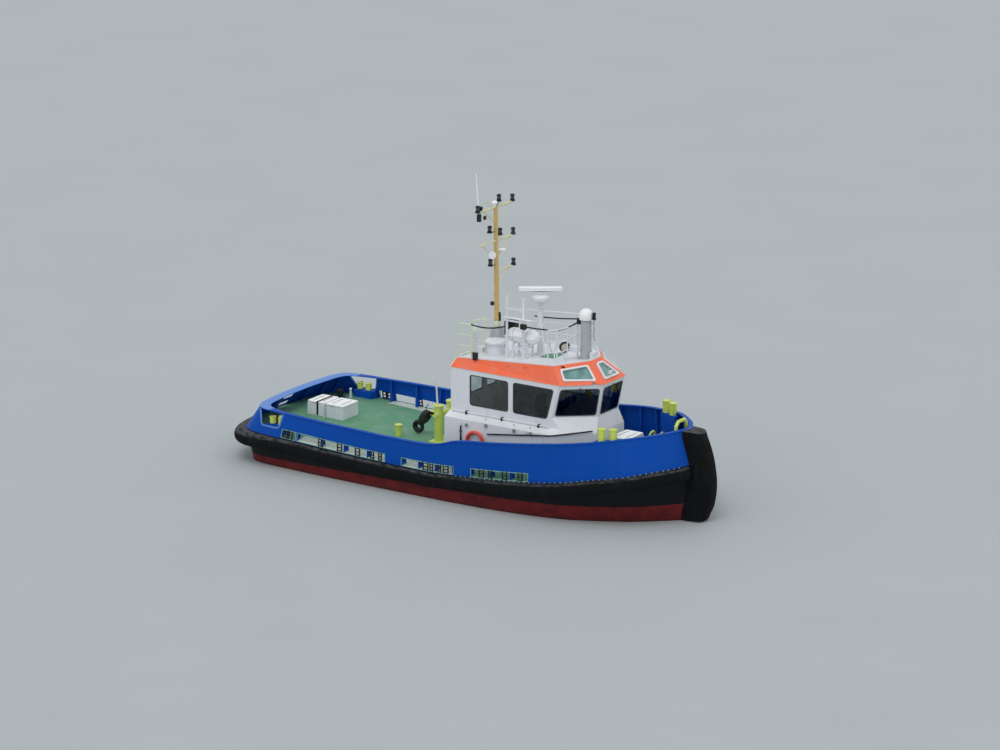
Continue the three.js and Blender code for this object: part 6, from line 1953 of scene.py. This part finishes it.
def ring_eye(centre: Sequence[float], bore: float, radius: float, half: float) -> Part:
    """A short upright tube round a pin: outer wall, inner wall and flat ends."""
    a = np.linspace(0, 2 * np.pi, 28, endpoint=False)
    loop = np.stack([np.cos(a), np.sin(a), np.zeros_like(a)], axis=-1)
    lift = vec(0, 0, half)
    rings = np.stack([loop * radius - lift, loop * radius + lift, loop * bore + lift, loop * bore - lift])
    return rings + vec(*centre), grid_faces(4, len(a), wrap_rows=True)


@dataclass
class SternGear:
    """Propellers, nozzles and rudders under the stern, with zinc anodes."""

    def anodes(self) -> Object:
        """Zinc blocks on the skeg and on the hull beside each shaft."""
        parts = [block((x, 0.088, -1.5), (x + 0.3, 0.125, -1.42)) for x in (-6.2, -5.0, -3.8)]
        return put("zinc_anodes", mirrored(parts), Finishes.galvanised, bevel=0.01)

    def build(self) -> list[Object]:
        """Makes the stern gear."""
        red, bronze = Finishes.boot, Finishes.bronze
        kinds = (("nozzle", red, 0.0), ("propeller", bronze, 0.0), ("rudder", red, 0.008))
        sides = ("port", "starboard")
        gear = [(f"{part}_{side}", look, bevel) for part, look, bevel in kinds for side in sides]
        return [*dress(gear), self.anodes()]


@dataclass
class Studio:
    """Pale floor at the waterline, soft light and the photograph's camera."""

    camera_place: Place = (76.1017, -113.607, 41.9759)
    azimuth: float = 33.62
    elevation: float = 15.75
    lens: float = 162.0

    def camera(self) -> None:
        """Aims the camera along its azimuth and elevation."""
        a, e = math.radians(self.azimuth), math.radians(self.elevation)
        right = Vector((math.cos(a), math.sin(a), 0))
        ahead = Vector((-math.sin(a) * math.cos(e), math.cos(a) * math.cos(e), -math.sin(e)))
        over = right.cross(ahead)
        data = bpy.data.cameras.new("camera")
        data.lens, data.sensor_width = self.lens, 36.0
        data.clip_start, data.clip_end = 1.0, 1000.0
        camera = bpy.data.objects.new("camera", data)
        camera.matrix_world = Matrix((
            (right.x, over.x, -ahead.x, self.camera_place[0]),
            (right.y, over.y, -ahead.y, self.camera_place[1]),
            (right.z, over.z, -ahead.z, self.camera_place[2]),
            (0, 0, 0, 1),
        ))
        bpy.context.scene.collection.objects.link(camera)
        bpy.context.scene.camera = camera

    def floor(self) -> None:
        """A pale floor with a faint mottle."""
        material = bpy.data.materials.new("studio_floor")
        material.use_nodes = True
        s = Shader(material.node_tree)
        shader = next(n for n in material.node_tree.nodes if n.type == "BSDF_PRINCIPLED")
        place = s.add("ShaderNodeTexCoord").outputs["Object"]
        color = s.mix(s.noise(place, 0.2, 2.0), srgb(172, 179, 182), srgb(178, 185, 188))
        s.tree.links.new(color, shader.inputs["Base Color"])
        shader.inputs["Roughness"].default_value = 0.85
        mesh = bpy.data.meshes.new("studio_floor")
        r = 300.0
        mesh.from_pydata([(-r, -r, 0), (r, -r, 0), (r, r, 0), (-r, r, 0)], [], [(0, 1, 2, 3)])
        mesh.materials.append(material)
        plane = bpy.data.objects.new("studio_floor", mesh)
        bpy.context.scene.collection.objects.link(plane)

    def light(self) -> None:
        """An even sky and one broad soft sun high above the camera."""
        world = bpy.data.worlds.new("studio")
        world.use_nodes = True
        sky = world.node_tree.nodes["Background"]
        sky.inputs["Color"].default_value = (0.94, 0.97, 1.0, 1.0)
        sky.inputs["Strength"].default_value = 0.8
        bpy.context.scene.world = world
        data = bpy.data.lights.new("broad_sun", "SUN")
        data.energy, data.angle = 0.7, math.radians(30)
        data.color = (1.0, 0.97, 0.92)
        sun = bpy.data.objects.new("broad_sun", data)
        toward = Vector((0.15, -0.5, 1.0)).normalized()
        sun.rotation_euler = toward.to_track_quat("Z", "Y").to_euler()
        bpy.context.scene.collection.objects.link(sun)
        bpy.context.scene.view_settings.view_transform = "Standard"

    def build(self) -> None:
        """Sets the stage."""
        self.camera()
        self.floor()
        self.light()


def main() -> None:
    """Builds the boat in order and reports each piece."""
    logging.basicConfig(level=logging.INFO, format="%(message)s")
    Studio().build()
    for assembly in (Hull(), Fenders(), House(), Roof(), RoofGear(), Mast(), DeckGear(), SternGear()):
        for piece in assembly.build():
            log.info("%s: %d faces", piece.name, len(piece.data.polygons))


if __name__ == "__main__":
    main()
